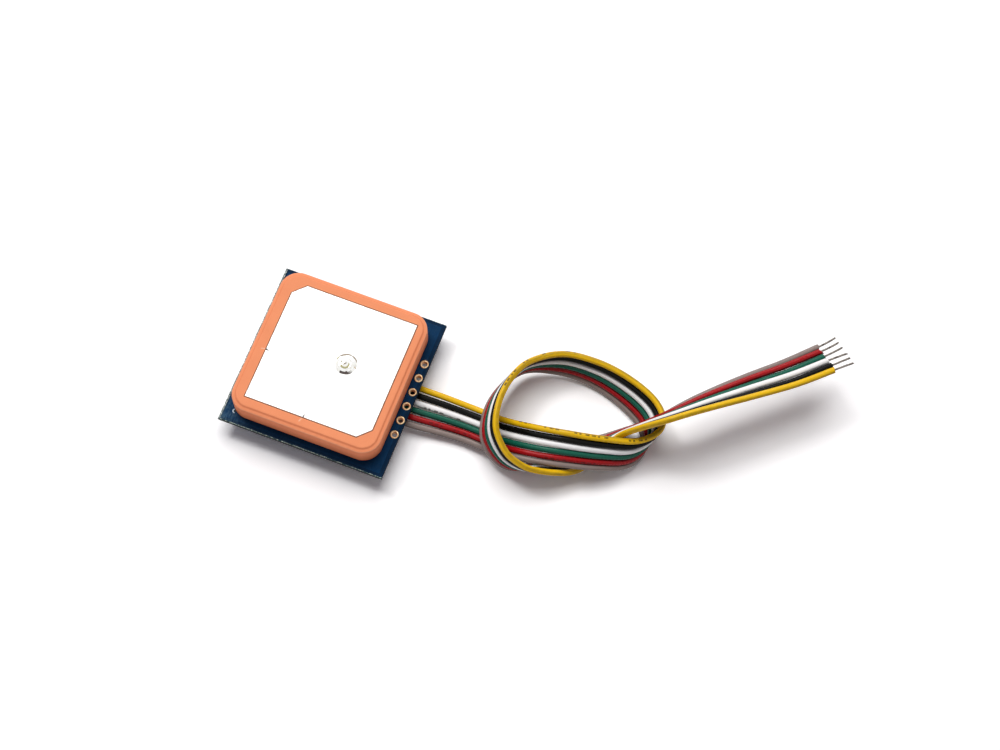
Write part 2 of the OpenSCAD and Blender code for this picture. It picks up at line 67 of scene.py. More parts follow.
class Shader:
    """The nodes of a material or of the world."""

    def __init__(self, owner):
        owner.use_nodes = True
        self.nodes = owner.node_tree.nodes

    def join(self, value, socket):
        if isinstance(value, bpy.types.NodeSocket):
            socket.id_data.links.new(value, socket)
        else:
            socket.default_value = value

    def node(self, kind, output, inputs, **settings):
        """Adds a node with these inputs and settings, and gives one of its outputs."""
        node = self.nodes.new("ShaderNode" + kind)
        for key, value in settings.items():
            setattr(node, key, value)
        for key, value in inputs.items():
            self.join(value, node.inputs[key])
        return node.outputs[output]

    def math(self, operation, a, b=0.0):
        return self.node("Math", 0, {0: a, 1: b}, operation=operation)

    def mix(self, share, a, b):
        """Colour a where share is 0, and b where it is 1."""
        return self.node("Mix", 2, {0: share, 6: a, 7: b}, data_type="RGBA")

    def rays(self, *kinds):
        """1 for rays of these kinds, and 0 for all others."""
        path = self.nodes.new("ShaderNodeLightPath")
        result = path.outputs[kinds[0]]
        for kind in kinds[1:]:
            result = self.math("MAXIMUM", result, path.outputs[kind])
        return result


class Graph(Shader):
    """One Principled material. Its patterns are set out in millimetres of the part's own frame."""

    def __init__(self, name, **values):
        self.mat = bpy.data.materials.new(name)
        super().__init__(self.mat)
        self.bsdf = self.nodes["Principled BSDF"]
        for key, value in values.items():
            self.drive(key, value)
        self.mm = self.vector("MULTIPLY", self.node("TexCoord", "Object", {}), (1 / MM,) * 3)

    def drive(self, key, value):
        self.join(value, self.bsdf.inputs[SOCKETS[key]])

    def vector(self, operation, a, b):
        output = "Value" if operation == "DISTANCE" else "Vector"
        return self.node("VectorMath", output, {0: a, 1: b}, operation=operation)

    def split(self, vector):
        node = self.nodes.new("ShaderNodeSeparateXYZ")
        self.join(vector, node.inputs[0])
        return node.outputs

    def noise(self, scale, detail, rough, stretch=None):
        at = self.vector("MULTIPLY", self.mm, stretch) if stretch else self.mm
        inputs = {"Vector": at, "Scale": scale, "Detail": detail, "Roughness": rough}
        return self.node("TexNoise", "Fac", inputs)

    def cells(self, scale):
        return self.node("TexVoronoi", "Distance", {"Vector": self.mm, "Scale": scale})

    def weave(self, pitch):
        """Waves along X times waves along Y."""
        turned = [self.math("MULTIPLY", c, 2 * math.pi / pitch) for c in self.split(self.mm)[:2]]
        return self.math("MULTIPLY", *(self.math("SINE", c) for c in turned))

    def spread(self, value, low, high, to_low=0.0, to_high=1.0):
        """Takes low to high onto to_low to to_high, and holds the ends."""
        ends = {"From Min": low, "From Max": high, "To Min": to_low, "To Max": to_high}
        return self.node("MapRange", "Result", {"Value": value, **ends})

    def bump(self, height, depth):
        """Raises the surface by height times depth, in millimetres, on top of earlier bumps."""
        normal = self.bsdf.inputs["Normal"]
        inputs = {"Height": height, "Distance": depth * MM}
        if normal.is_linked:
            inputs["Normal"] = normal.links[0].from_socket
        self.join(self.node("Bump", "Normal", inputs), normal)


def shade(colour, factor):
    """A colour made darker or lighter."""
    return tuple(min(1.0, c * factor) for c in colour[:3]) + (1.0,)


def solder_mask(name, colour, pour, worn):
    """Solder mask: a little lighter over the copper pour, with pale streaks by one corner, partly rubbed wear
    and partly a painted sheen of reflected light.
    """
    g = Graph(name, shine=0.04)
    cloud = g.noise(0.45, 4.0, 0.6)
    fine = g.noise(5.0, 2.0, 0.6)
    from_edge = [g.math("SUBTRACT", half - POUR_INSET, g.math("ABSOLUTE", c))
                 for half, c in zip(BOARD_HALF, g.split(g.mm))]
    inside = g.spread(g.math("MINIMUM", *from_edge), -POUR_BLUR, POUR_BLUR)
    base = g.mix(g.spread(cloud, 0.3, 0.7), shade(colour, 0.8), shade(colour, 1.1))
    over = g.mix(g.spread(cloud, 0.3, 0.7), shade(pour, 0.85), shade(pour, 1.15))
    base = g.mix(inside, base, over)
    streak = g.noise(1.0, 4.0, 0.7, stretch=(5.0, 1.1, 1.0))
    threads = g.noise(1.0, 3.0, 0.7, stretch=(1.2, 6.0, 1.0))
    rubbed_and_sheen = g.math("MULTIPLY", g.spread(streak, 0.4, 0.68), g.spread(threads, 0.3, 0.62, 0.35, 1.0))
    # Painted sheen: the pale streaks grow strong towards one corner, as a painted reflection; away from it
    # they stay as faint wear.
    corner = g.vector("DISTANCE", g.mm, (-BOARD_HALF[0], -BOARD_HALF[1], BOARD_TOP))
    share = g.math("MULTIPLY", rubbed_and_sheen, g.spread(corner, *RUBBED_SHEEN_REACH, 1.0, 0.0))
    faint = g.math("MULTIPLY", rubbed_and_sheen, 0.08)
    g.drive("colour", g.mix(g.math("MAXIMUM", share, faint), base, worn))
    g.drive("rough", g.spread(fine, 0.3, 0.7, 0.3, 0.46))
    g.bump(g.spread(g.weave(WEAVE_PITCH), -1.0, 1.0), 0.004)
    g.bump(inside, 0.02)
    g.bump(fine, 0.006)
    return g.mat


def laminate(name, colour, fibre, bare):
    """Cut edge of glass laminate: thin layers, with pale broken fibres. bare is how rare they are."""
    g = Graph(name, shine=0.1)
    layers = g.noise(1.0, 3.0, 0.6, stretch=(1.2, 1.2, 14.0))
    chips = g.noise(3.4, 4.0, 0.75)
    base = g.mix(g.spread(layers, 0.35, 0.65), shade(colour, 0.6), shade(colour, 1.15))
    g.drive("colour", g.mix(g.spread(chips, bare, bare + 0.1), base, fibre))
    g.drive("rough", g.spread(chips, 0.3, 0.7, 0.6, 0.9))
    g.bump(layers, 0.03)
    g.bump(chips, 0.03)
    return g.mat


def ceramic_material(name, colour, skin, foot):
    """Pressed and fired ceramic: fine grain, clouds, and press lines around the walls, with painted shade
    that makes the walls darker and browner towards the bottom.
    """
    g = Graph(name, shine=0.12)
    cloud = g.noise(0.22, 4.0, 0.55)
    grain = g.noise(9.0, 3.0, 0.7)
    speck = g.cells(3.2)
    lines = g.noise(1.0, 2.0, 0.6, stretch=(0.15, 0.15, 9.0))
    height = g.split(g.mm)[2]
    wall = g.spread(height, CERAMIC_TOP - 0.55, CERAMIC_TOP - 0.2)
    # Painted shade: the walls turn darker and browner towards the bottom, in streaks along the press lines.
    low = g.spread(height, ceramic_low[2], CERAMIC_TOP - 1.4, 1.0, 0.0)
    base = g.mix(wall, skin, colour)
    for share in (g.math("MULTIPLY", low, g.spread(lines, 0.25, 0.7, 0.55, 1.0)),
                  g.spread(cloud, 0.3, 0.7, 0.12, 0.0), g.spread(grain, 0.35, 0.75, 0.0, 0.16),
                  g.spread(speck, 0.0, 0.09, 0.3, 0.0)):
        base = g.mix(share, base, foot)
    g.drive("colour", base)
    g.drive("rough", g.spread(grain, 0.3, 0.7, 0.66, 0.88))
    g.bump(grain, 0.012)
    g.bump(lines, 0.014)
    return g.mat


def fired_silver(name, colour, rough):
    """Screen-printed silver: satin, with the faint mesh of the screen."""
    g = Graph(name, metal=1.0)
    cloud = g.noise(0.35, 4.0, 0.6)
    grain = g.noise(14.0, 2.0, 0.6)
    g.drive("colour", g.mix(g.spread(cloud, 0.3, 0.7), shade(colour, 0.97), colour))
    g.drive("rough", g.spread(grain, 0.3, 0.7, rough - 0.06, rough + 0.06))
    g.bump(g.weave(SCREEN_PITCH), 0.0012)
    g.bump(grain, 0.002)
    return g.mat


def plated(name, colour, rough, stain, wave=0.01, metal=1.0, dull=0.18):
    """Plated or tinned metal: slight waves, and stains that dull it in places."""
    g = Graph(name, metal=metal)
    cloud = g.noise(1.6, 4.0, 0.6)
    fine = g.noise(12.0, 2.0, 0.6)
    g.drive("colour", g.mix(g.spread(cloud, 0.42, 0.72), colour, stain))
    g.drive("rough", g.spread(cloud, 0.3, 0.75, rough, rough + dull))
    g.bump(cloud, wave)
    g.bump(fine, wave * 0.25)
    return g.mat


def drawn_sheet(name, colour, rough):
    """Rolled and tinned sheet: fine lines along the rolling direction, with handling marks."""
    g = Graph(name, metal=1.0, turned=0.3)
    roll = g.noise(1.0, 3.0, 0.6, stretch=(0.5, 14.0, 14.0))
    cloud = g.noise(0.5, 4.0, 0.6)
    g.drive("colour", g.mix(g.spread(cloud, 0.35, 0.7), colour, shade(colour, 0.8)))
    wear = g.math("ADD", g.math("MULTIPLY", roll, 0.6), g.math("MULTIPLY", cloud, 0.4))
    g.drive("rough", g.spread(wear, 0.3, 0.7, rough - 0.08, rough + 0.14))
    g.bump(roll, 0.004)
    return g.mat


def moulded(name, colour, rough, soft=0.0, grain=0.006):
    """Moulded plastic: even colour with faint flow clouds and a fine spark-eroded grain."""
    g = Graph(name, shine=0.45, soft=soft, soft_depth=0.0004)
    cloud = g.noise(0.8, 4.0, 0.6)
    fine = g.noise(16.0, 2.0, 0.6)
    g.drive("colour", g.mix(g.spread(cloud, 0.3, 0.7), shade(colour, 0.9), shade(colour, 1.04)))
    g.drive("rough", g.spread(fine, 0.3, 0.7, rough - 0.06, rough + 0.1))
    g.bump(fine, grain)
    return g.mat


def foam_tape(name, colour):
    """Closed-cell foam: small open cells on its cut edge."""
    g = Graph(name, shine=0.2)
    cell = g.cells(7.0)
    g.drive("colour", g.mix(g.spread(cell, 0.1, 0.5), shade(colour, 0.7), colour))
    g.drive("rough", g.spread(cell, 0.0, 0.6, 0.95, 0.75))
    g.bump(cell, 0.05)
    return g.mat


def insulation(name, colour, ink, shine, turn, prints, hollow_shade):
    """Wire insulation with plain printed dashes. The map holds the turn and the length in millimetres.

    turn is the print's place around the wire, prints are the lengths at which it starts and ends, and
    hollow_shade is how dark the painted shade is on the sides where the wires face each other.
    """
    g = Graph("insulation_" + name, shine=shine)
    around, along, _ = g.split(g.node("UVMap", "UV", {}, uv_map=WIRE_MAP))
    cloud = g.noise(0.25, 3.0, 0.6)
    peel = g.noise(2.6, 2.0, 0.5)
    fine = g.noise(20.0, 2.0, 0.5)
    colour_now = g.mix(g.spread(cloud, 0.3, 0.7), shade(colour, 0.92), shade(colour, 1.05))
    if prints:
        dash = 1.0
        for pitch, share in DASHES:
            inked = g.math("LESS_THAN", g.math("FRACT", g.math("DIVIDE", along, pitch)), share)
            dash = g.math("MULTIPLY", dash, inked)
        aside = g.math("ABSOLUTE", g.math("SUBTRACT", around, turn))
        strip = g.spread(aside, PRINT_HALF, PRINT_HALF + PRINT_BLUR, 1.0, 0.0)
        worn = g.spread(g.noise(3.0, 2.0, 0.6), 0.3, 0.6, 0.6, 1.0)
        mark = g.math("MULTIPLY", g.math("MULTIPLY", dash, strip), worn)
        window = 0.0
        for start, end in prints:
            after = g.math("GREATER_THAN", along, start)
            window = g.math("MAXIMUM", window, g.math("MULTIPLY", after, g.math("LESS_THAN", along, end)))
        colour_now = g.mix(g.math("MULTIPLY", g.math("MULTIPLY", mark, window), 0.9), colour_now, ink)
    # Painted shade in the hollows: the sides where the wires face each other are darkened, in patches.
    sideways = g.math("ABSOLUTE", g.math("COSINE", g.math("MULTIPLY", around, 2 * math.pi)))
    hollow_shade_strength = g.spread(g.noise(1.3, 3.0, 0.6), 0.25, 0.6, hollow_shade * 0.5, hollow_shade)
    painted_hollow_shade = g.math("MULTIPLY", g.spread(sideways, 0.75, 1.0), hollow_shade_strength)
    g.drive("colour", g.mix(painted_hollow_shade, colour_now, shade(colour, 0.3)))
    g.drive("rough", g.spread(peel, 0.3, 0.7, WIRE_ROUGH - 0.05, WIRE_ROUGH + 0.08))
    g.bump(peel, 0.012)
    g.bump(fine, 0.0015)
    return g.mat


# Meshes

FINE_SIDES, LEAST_R = 10, 0.002


def turns(count):
    """Angles all the way round, in equal steps."""
    return [2 * math.pi * i / count for i in range(count)]


def ring_points(centre, r, sides):
    return [(centre[0] + r * math.cos(a), centre[1] + r * math.sin(a)) for a in turns(sides)]


def arc(centre, radius, start, end, steps=24):
    """Points on part of a circle, between two angles in degrees."""
    angles = [math.radians(start + (end - start) * k / steps) for k in range(steps + 1)]
    return [(centre[0] + radius * math.cos(a), centre[1] + radius * math.sin(a)) for a in angles]


def tube(path, u, v):
    """Rings around a path, whose half widths at each point are the vectors u and v."""
    return [[p + math.cos(q) * a + math.sin(q) * b for q in turns(FINE_SIDES)] for p, a, b in zip(path, u, v)]


def quarter(wide, high, steps):
    """A hollow quarter round, from (wide, 0) to (0, high)."""
    angles = [math.pi / 2 * i / steps for i in range(steps + 1)]
    return [(wide * (1 - math.sin(a)), high * (1 - math.cos(a))) for a in angles]


def rounded_rectangle(hx, hy, r, steps, straight=1):
    """Points around a rectangle with round corners, against the clock from the upper end of its +X side."""
    corners = [(hx - r, hy - r), (r - hx, hy - r), (r - hx, r - hy), (hx - r, r - hy)]
    rounds = [arc(corner, r, 90.0 * i, 90.0 * i + 90, steps) for i, corner in enumerate(corners)]
    points = []
    for bend, after in zip(rounds, rounds[1:] + rounds[:1]):
        points += bend
        (ax, ay), (bx, by) = bend[-1], after[0]
        for k in range(1, straight):
            t = k / straight
            points.append((ax + t * (bx - ax), ay + t * (by - ay)))
    return points


class Builder:
    """Gathers the faces of one piece. Points are in millimetres."""

    def __init__(self):
        self.verts, self.faces, self.kinds = [], [], []

    def add(self, points, faces, kind=0):
        start = len(self.verts)
        self.verts += [tuple(float(c) for c in p) for p in points]
        self.faces += [tuple(start + i for i in face) for face in faces]
        self.kinds += [kind] * len(faces)

    def loft(self, loops, kinds=0, cap_first=False, cap_last=False):
        """Joins closed loops of as many points each, with one kind of material or one for each row."""
        count = len(loops[0])
        if isinstance(kinds, int):
            kinds = [kinds] * (len(loops) - 1)
        after = [(i + 1) % count for i in range(count)]
        faces = [(i, after[i], count + after[i], count + i) for i in range(count)]
        for low, high, kind in zip(loops, loops[1:], kinds):
            self.add([*low, *high], faces, kind)
        if cap_first:
            self.add(loops[0], [range(count)[::-1]], kinds[0])
        if cap_last:
            self.add(loops[-1], [range(count)], kinds[-1])

    def revolve(self, profile, centre, sides, kinds=0, cap_first=False, cap_last=False):
        """Turns (radius, height) points about the upright line through centre."""
        loops = [[(x, y, centre[2] + h) for x, y in ring_points(centre, r, sides)] for r, h in profile]
        self.loft(loops, kinds, cap_first, cap_last)

    def rounded_box(self, low, high, radius, steps):
        """A box whose edges and corners are round."""
        cx, cy = (low[0] + high[0]) / 2, (low[1] + high[1]) / 2
        hx, hy = (high[0] - low[0]) / 2, (high[1] - low[1]) / 2
        bends = quarter(radius, radius, steps)
        rows = [(low[2] + up, inset) for inset, up in bends]
        rows += [(high[2] - up, inset) for inset, up in reversed(bends)]
        loops = []
        for z, inset in rows:
            flat = rounded_rectangle(hx - inset, hy - inset, max(radius - inset, LEAST_R), steps)
            loops.append([(cx + x, cy + y, z) for x, y in flat])
        self.loft(loops, 0, True, True)

    def piece(self, name, materials, slot, replaces=(), sharp=35.0):
        mesh = bpy.data.meshes.new(name)
        mesh.from_pydata([tuple(c * MM for c in v) for v in self.verts], [], self.faces)
        for material in materials:
            mesh.materials.append(material)
        mesh.polygons.foreach_set("material_index", self.kinds)
        return finish_piece(name, mesh, replaces, sharp)


def place(name, data):
    """A new object in the scene."""
    obj = bpy.data.objects.new(name, data)
    SCENE.collection.objects.link(obj)
    return obj


def finish_piece(name, mesh, replaces, sharp):
    """Puts a mesh in the scene as a piece that rides on the part."""
    mesh.polygons.foreach_set("use_smooth", [True] * len(mesh.polygons))
    mesh.update()
    mesh.set_sharp_from_angle(angle=math.radians(sharp))
    obj = place(name, mesh)
    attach(obj, "root")
    if replaces:
        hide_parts(*replaces)
    return obj


def millimetres(node):
    """The low and the high corner of a CAD node's box."""
    low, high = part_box(node)
    return [c / MM for c in low], [c / MM for c in high]


def middle_of(node):
    return tuple((low + high) / 2 for low, high in zip(*millimetres(node)))


def dress(node, material, bevel=0.0):
    """A CAD node that keeps its shape: its material, and a small round on its edges."""
    obj = NODES[node]
    obj.data.materials.clear()
    obj.data.materials.append(material)
    if bevel:
        weld = obj.modifiers.new("weld", "WELD")
        weld.merge_threshold = 2e-6
        edge = obj.modifiers.new("edge", "BEVEL")
        edge.width = bevel * MM
        edge.segments = 2
        edge.limit_method = "ANGLE"
        edge.angle_limit = math.radians(40)


# Sizes in millimetres, as the frame has them

board_low, board_high = millimetres("circuit_board")
BOARD_HALF = tuple(board_high[:2])
POUR_INSET, POUR_BLUR = 0.62, 0.05
RUBBED_SHEEN_REACH = (1.2, 5.6)
WEAVE_PITCH = 0.55
SCREEN_PITCH = 0.22
BOARD_TOP, BOARD_UNDER = board_high[2], board_low[2]
ceramic_low, ceramic_high = millimetres("antenna_ceramic")
CERAMIC_TOP = ceramic_high[2]
ANTENNA_X = middle_of("antenna_ceramic")[0]
ANTENNA_HALF = (ceramic_high[0] - ceramic_low[0]) / 2
ANTENNA_R = 3.1
FEED = middle_of("feed_pin")[:2]
patch_low, patch_high = millimetres("antenna_patch")
PADS_TOP = millimetres("plated_holes")[1][2]
HOLE_X = middle_of("plated_holes")[0]
HOLE_PITCH, HOLE_COUNT = 2.54, 6
HOLE_R, FEED_HOLE_R, HOLE_SIDES = 0.46, 0.45, 40

# Materials

MASK = solder_mask("solder_mask", srgb(8, 38, 66), srgb(12, 52, 88), srgb(80, 114, 134))
# The laminate of the cut edges is coloured very dark: painted shade.
FIBRE = laminate("laminate_edge", srgb(34, 40, 38), srgb(110, 122, 104), 0.62)
# Pale broken fibres on the upper and lower arrises of the cut edges, partly a painted highlight along the
# edge.
ARRIS_FIBRES_AND_HIGHLIGHT = laminate("broken_arris_and_highlight", srgb(40, 76, 86), srgb(206, 222, 208), 0.47)
# The scored edge: pale fibres on grey, the grey partly painted shade.
SCORED = laminate("scored_edge", srgb(112, 124, 122), srgb(226, 234, 228), 0.5)
ROUTED = laminate("routed_edge", srgb(14, 34, 48), srgb(40, 58, 66), 0.6)
# A pale crescent on the via: a painted highlight.
VIA_HIGHLIGHT = moulded("via_painted_highlight", srgb(206, 226, 238), 0.4)
OLIVE = moulded("copper_burr", srgb(74, 74, 46), 0.6)
GOLD = plated("gold_plate", srgb(246, 216, 172), 0.34, srgb(200, 152, 104))
BARREL = plated("barrel_plate", srgb(240, 194, 148), 0.6, srgb(196, 146, 102), metal=0.0)
# Dark laminate in the mask's clearance round each pad; the same dark is painted in the via's hole as shade.
CLEARANCE_AND_HOLE_SHADE = moulded("pad_clearance_and_via_shade", srgb(20, 24, 26), 0.7)
CERAMIC = ceramic_material("antenna_ceramic", srgb(252, 160, 114), srgb(252, 154, 110), srgb(194, 102, 68))
# A slightly darker copy of the ceramic for the small step: painted shade in the groove.
SHADED_GROOVE = ceramic_material("antenna_groove_shade", srgb(247, 150, 105), srgb(247, 150, 105), srgb(188, 96, 64))
# A lighter copy of the ceramic for the rounded arris: a painted highlight.
ARRIS_HIGHLIGHT = ceramic_material("antenna_arris_highlight", srgb(250, 172, 132), srgb(250, 172, 132), srgb(214, 124, 88))
SILVER = fired_silver("fired_silver", srgb(249, 249, 247), 0.34)
SILVER_RIM = plated("fired_silver_rim", srgb(134, 88, 62), 0.7, srgb(104, 64, 44), metal=0.0)
CUT_LIGHT = moulded("ground_ceramic", srgb(250, 186, 150), 0.8)
CUT_DARK = moulded("burnt_cut", srgb(56, 50, 52), 0.7)
SOLDER = plated("solder", srgb(250, 250, 248), 0.05, srgb(238, 236, 228), wave=0.003, dull=0.05)
FLUX = moulded("flux", srgb(186, 180, 130), 0.3)
FLUX_DARK = moulded("burnt_flux", srgb(172, 160, 146), 0.35)
TIN = plated("tin_plate", srgb(222, 222, 220), 0.22, srgb(186, 184, 178))
STRAND = plated("tinned_strand", srgb(150, 142, 134), 0.4, srgb(84, 76, 70))
TAPE = foam_tape("foam_tape", srgb(232, 231, 226))
PRINT = moulded("board_print", srgb(232, 236, 236), 0.55)
HEADER = moulded("header_nylon", srgb(238, 230, 210), 0.42, soft=0.2)
PLUG = moulded("plug_nylon", srgb(242, 240, 232), 0.4, soft=0.2)
CAN = drawn_sheet("can_sheet", srgb(214, 215, 214), 0.3)
EPOXY = moulded("epoxy", srgb(42, 42, 45), 0.62, grain=0.014)
LID = drawn_sheet("lid_metal", srgb(218, 214, 204), 0.26)
CELL = drawn_sheet("cell_steel", srgb(214, 216, 218), 0.22)
LAMP = moulded("lamp_resin", srgb(228, 236, 214), 0.28, soft=0.3)
CAPACITOR = moulded("capacitor_ceramic", srgb(188, 150, 112), 0.5)
RESISTOR = moulded("resistor_glaze", srgb(38, 38, 42), 0.35)
FERRITE = moulded("ferrite", srgb(96, 96, 100), 0.6, grain=0.014)

# Camera, set to the photograph's view

CAMERA_AT = (72.188, -114.307, 344.61)
CAMERA_RIGHT = (0.9327806, 0.3604428, 0.0011826)
CAMERA_DOWN = (0.3364534, -0.8695126, -0.3615894)
CAMERA_AHEAD = (-0.129304, 0.3376815, -0.9323367)
FOCAL_PIXELS, IMAGE_PIXELS, SENSOR = 2300.0, 1000.0, 36.0

camera = place("camera", bpy.data.cameras.new("camera"))
camera.data.sensor_width = SENSOR
camera.data.lens = FOCAL_PIXELS / IMAGE_PIXELS * SENSOR
camera.data.clip_start, camera.data.clip_end = 0.01, 20.0
camera_turn = Matrix((CAMERA_RIGHT, [-c for c in CAMERA_DOWN], [-c for c in CAMERA_AHEAD])).transposed()
camera.matrix_world = Matrix.Translation(Vector(CAMERA_AT) * MM) @ camera_turn.to_4x4()
SCENE.camera = camera

# Lead

WIRE_D, WIRE_COUNT, TIP_L, TIP_INSIDE = 1.0, 6, 3.4, 0.3
EXIT_X, EXIT_Z, PLUG_GAP, STRAIGHT_L = 11.4, 1.7, 0.25, 3.1
# Points of the route and the flat lead's lean, then the gap and every other wire's step out, if unusual
USUAL_GAP, USUAL_STEP = 0.04, 0
ROUTE = [(*row, USUAL_GAP, USUAL_STEP)[:6] for row in (
    (EXIT_X, 0, EXIT_Z, 0, PLUG_GAP, 0), (EXIT_X + STRAIGHT_L, 0, EXIT_Z, 0, PLUG_GAP, 0),
    (18.5, 0.2, 1.7, 5, 0.15, 0), (23, 0.3, 1.7, 9, 0.06, 0), (28.5, -0.1, 2.7, 16), (34, -0.2, 4.9, 27),
    (39.3, 0.45, 6.1, 38), (44.5, 1.85, 5.8, 50), (48.6, 4, 4.1, 68), (50.7, 7.1, 3.2, 97),
    (50.5, 9.9, 2.8, 126), (48.4, 12.3, 2.7, 129), (43.9, 14.2, 2.9, 122), (38.7, 15.1, 3.3, 112),
    (33.2, 14.5, 3.8, 103), (28.4, 11.7, 4.6, 82), (26.4, 7.2, 5.5, 73), (26.1, 2.6, 6.1, 67),
    (27.3, -1.5, 5.8, 68), (30.4, -4, 4.6, 83), (33.8, -4, 3.3, 106), (37, -2.1, 2.4, 134),
    (40.1, 0.5, 1.7, 155), (43.1, 3.6, 2.3, 137), (46.1, 6.7, 3.35, 114, 0.04, -0.06),
    (49.7, 8.65, 6.8, 113, 0.04, -0.12), (53.4, 10.9, 9.5, 123, 0.04, -0.14),
    (57.8, 14.9, 9.7, 137, 0.04, -0.2), (63, 19.6, 9.3, 150, 0.06, -0.3), (68, 24, 9, 157, 0.08, -0.3),
    (72.4, 28.4, 8.8, 159, 0.1, -0.1),
)]
STEPS_PER_STRETCH, WIRE_SIDES = 10, 28
WIRE_MAP = "wire_map"
# Dashes: pitch and inked share, in short dashes and in groups of them
DASHES = ((0.95, 0.66), (2.85, 0.78))
PRINT_HALF, PRINT_BLUR = 0.04, 0.012
# Cut end of a wire: how far back, and the radius as a share of the diameter
CUT_ROWS = ((0.3, 0.5), (0.12, 0.497), (0.05, 0.48), (0.0, 0.43), (0.0, 0.2))
UPRIGHT = np.array([0, 0, 1.0])


def smooth_route(points, steps):
    """A Catmull-Rom curve through the points, with its ends carried straight on."""
    p = np.array(points, float)
    p = np.vstack([2 * p[0] - p[1], p, 2 * p[-1] - p[-2]])
    out = []
    for a, b, c, d in zip(p, p[1:], p[2:], p[3:]):
        for k in range(steps):
            t = k / steps
            out.append((2 * b + (c - a) * t + (2 * a - 5 * b + 4 * c - d) * t**2
                        + (3 * b - a - 3 * c + d) * t**3) / 2)
    out.append(p[-2])
    return np.array(out)


def unit(v):
    """Vectors in rows, brought to length 1."""
    return v / np.linalg.norm(v, axis=-1, keepdims=True)


def headings(line):
    """The way ahead at each point. A wire leaves its plug along X."""
    h = np.empty_like(line)
    h[1:-1] = line[2:] - line[:-2]
    h[0] = (1, 0, 0)
    h[-1] = line[-1] - line[-2]
    return unit(h)


def square_to(v, along):
    """The part of each vector that is square to the way along."""
    return unit(v - np.sum(v * along, axis=1, keepdims=True) * along)


middle = smooth_route(ROUTE, STEPS_PER_STRETCH)
middle_heading = headings(middle[:, :3])
left = unit(np.stack([-middle_heading[:, 1], middle_heading[:, 0], np.zeros(len(middle))], axis=1))
lean = np.radians(middle[:, 3:4])
across = square_to(np.cos(lean) * left + np.sin(lean) * UPRIGHT, middle_heading)


def wire_line(index):
    """The middle line of one wire of the flat lead."""
    step = (1 if index % 2 == 0 else -1) * middle[:, 5:6] / 2
    return (middle[:, :3] + ((WIRE_COUNT - 1) / 2 - index) * (WIRE_D + middle[:, 4:5]) * across
            + step * np.cross(middle_heading, across))


def wire_mesh(name, line, material, slant):
    """A tube whose far end is a ragged, slanting cut, and whose map holds the turn and the length."""
    along = headings(line)
    u = square_to(across, along)
    v = np.cross(along, u)
    lengths = np.concatenate([[0], np.cumsum(np.linalg.norm(np.diff(line, axis=0), axis=1))])
    rings = [(line[k], u[k], v[k], WIRE_D / 2, lengths[k]) for k in range(len(line))]
    end = rings.pop()
    whole = len(rings)
    for back, radius in CUT_ROWS:
        rings.append((end[0] - back * along[-1], *end[1:3], radius * WIRE_D, end[4]))
    lean_turn = RANDOM.uniform(0.0, 2 * math.pi)
    torn = [RANDOM.uniform(-0.07, 0.05) for s in range(WIRE_SIDES)]
    verts, faces, maps = [], [], []
    for row, (centre, a, b, radius, _) in enumerate(rings):
        for s, angle in enumerate(turns(WIRE_SIDES)):
            cut = 0.0
            if row > whole:
                cut = 2 * radius / WIRE_D * (slant * math.cos(angle - lean_turn) + torn[s])
            point = centre + radius * (math.cos(angle) * a + math.sin(angle) * b) + cut * along[-1]
            verts.append(tuple(point * MM))
    for k, ((*_, near), (*_, far)) in enumerate(zip(rings, rings[1:])):
        base, after = k * WIRE_SIDES, (k + 1) * WIRE_SIDES
        for s in range(WIRE_SIDES):
            n = (s + 1) % WIRE_SIDES
            faces.append((base + s, base + n, after + n, after + s))
            low, high = s / WIRE_SIDES, (s + 1) / WIRE_SIDES
            maps += [(low, near), (high, near), (high, far), (low, far)]
    faces.append(tuple(reversed(range(WIRE_SIDES))))
    maps += [(0.5, 0.0)] * WIRE_SIDES
    last = (len(rings) - 1) * WIRE_SIDES
    faces.append(tuple(range(last, last + WIRE_SIDES)))
    maps += [(0.5, end[4])] * WIRE_SIDES
    mesh = bpy.data.meshes.new(name)
    mesh.from_pydata(verts, [], faces)
    layer = mesh.uv_layers.new(name=WIRE_MAP)
    layer.data.foreach_set("uv", [c for pair in maps for c in pair])
    mesh.materials.append(material)
    return mesh, float(lengths[-1])


WIRE_ROUGH = 0.24
# Lengths along the wires between which the dashes are printed
YELLOW_PRINTS = ((19.6, 22.0), (24.6, 27.4), (29.6, 35.0), (38.2, 41.2), (64.2, 66.4), (69.2, 70.2),
                 (72.4, 73.4), (75.0, 78.5))
WHITE_PRINTS = ((4.0, 7.4), (9.4, 10.4))
RED_PRINTS = ((5.6, 8.4), (9.8, 12.8), (25.6, 29.0), (31.0, 33.6))
# Name, colour, ink, gloss, turn of the print and where it runs, slant of the cut end, painted shade in the
# hollows
WIRES = [
    ("yellow", srgb(238, 190, 16), srgb(40, 30, 6), 0.2, 0.1, YELLOW_PRINTS, 0.12, 0.7),
    ("black", srgb(12, 12, 10), srgb(60, 60, 58), 0.1, 0.0, (), 0.2, 0.5),
    ("white", srgb(255, 255, 253), srgb(70, 74, 72), 0.2, 0.4, WHITE_PRINTS, 0.1, 0.55),
    ("green", srgb(14, 92, 73), srgb(8, 40, 32), 0.2, 0.0, (), 0.14, 0.75),
    ("red", srgb(164, 11, 19), srgb(92, 6, 12), 0.2, 0.3, RED_PRINTS, 0.34, 0.8),
    ("grey", srgb(142, 127, 121), srgb(96, 88, 86), 0.25, 0.0, (), 0.16, 0.85),
]
STRANDS, STRAND_D, STRAND_TURNS, STRAND_STEPS = 7, 0.115, 1.4, 26
STRAND_LAY_R = STRAND_D * 0.94
TIP_BOW = (0.0, 0.05, 0.1, -0.2, -0.3, -0.45)


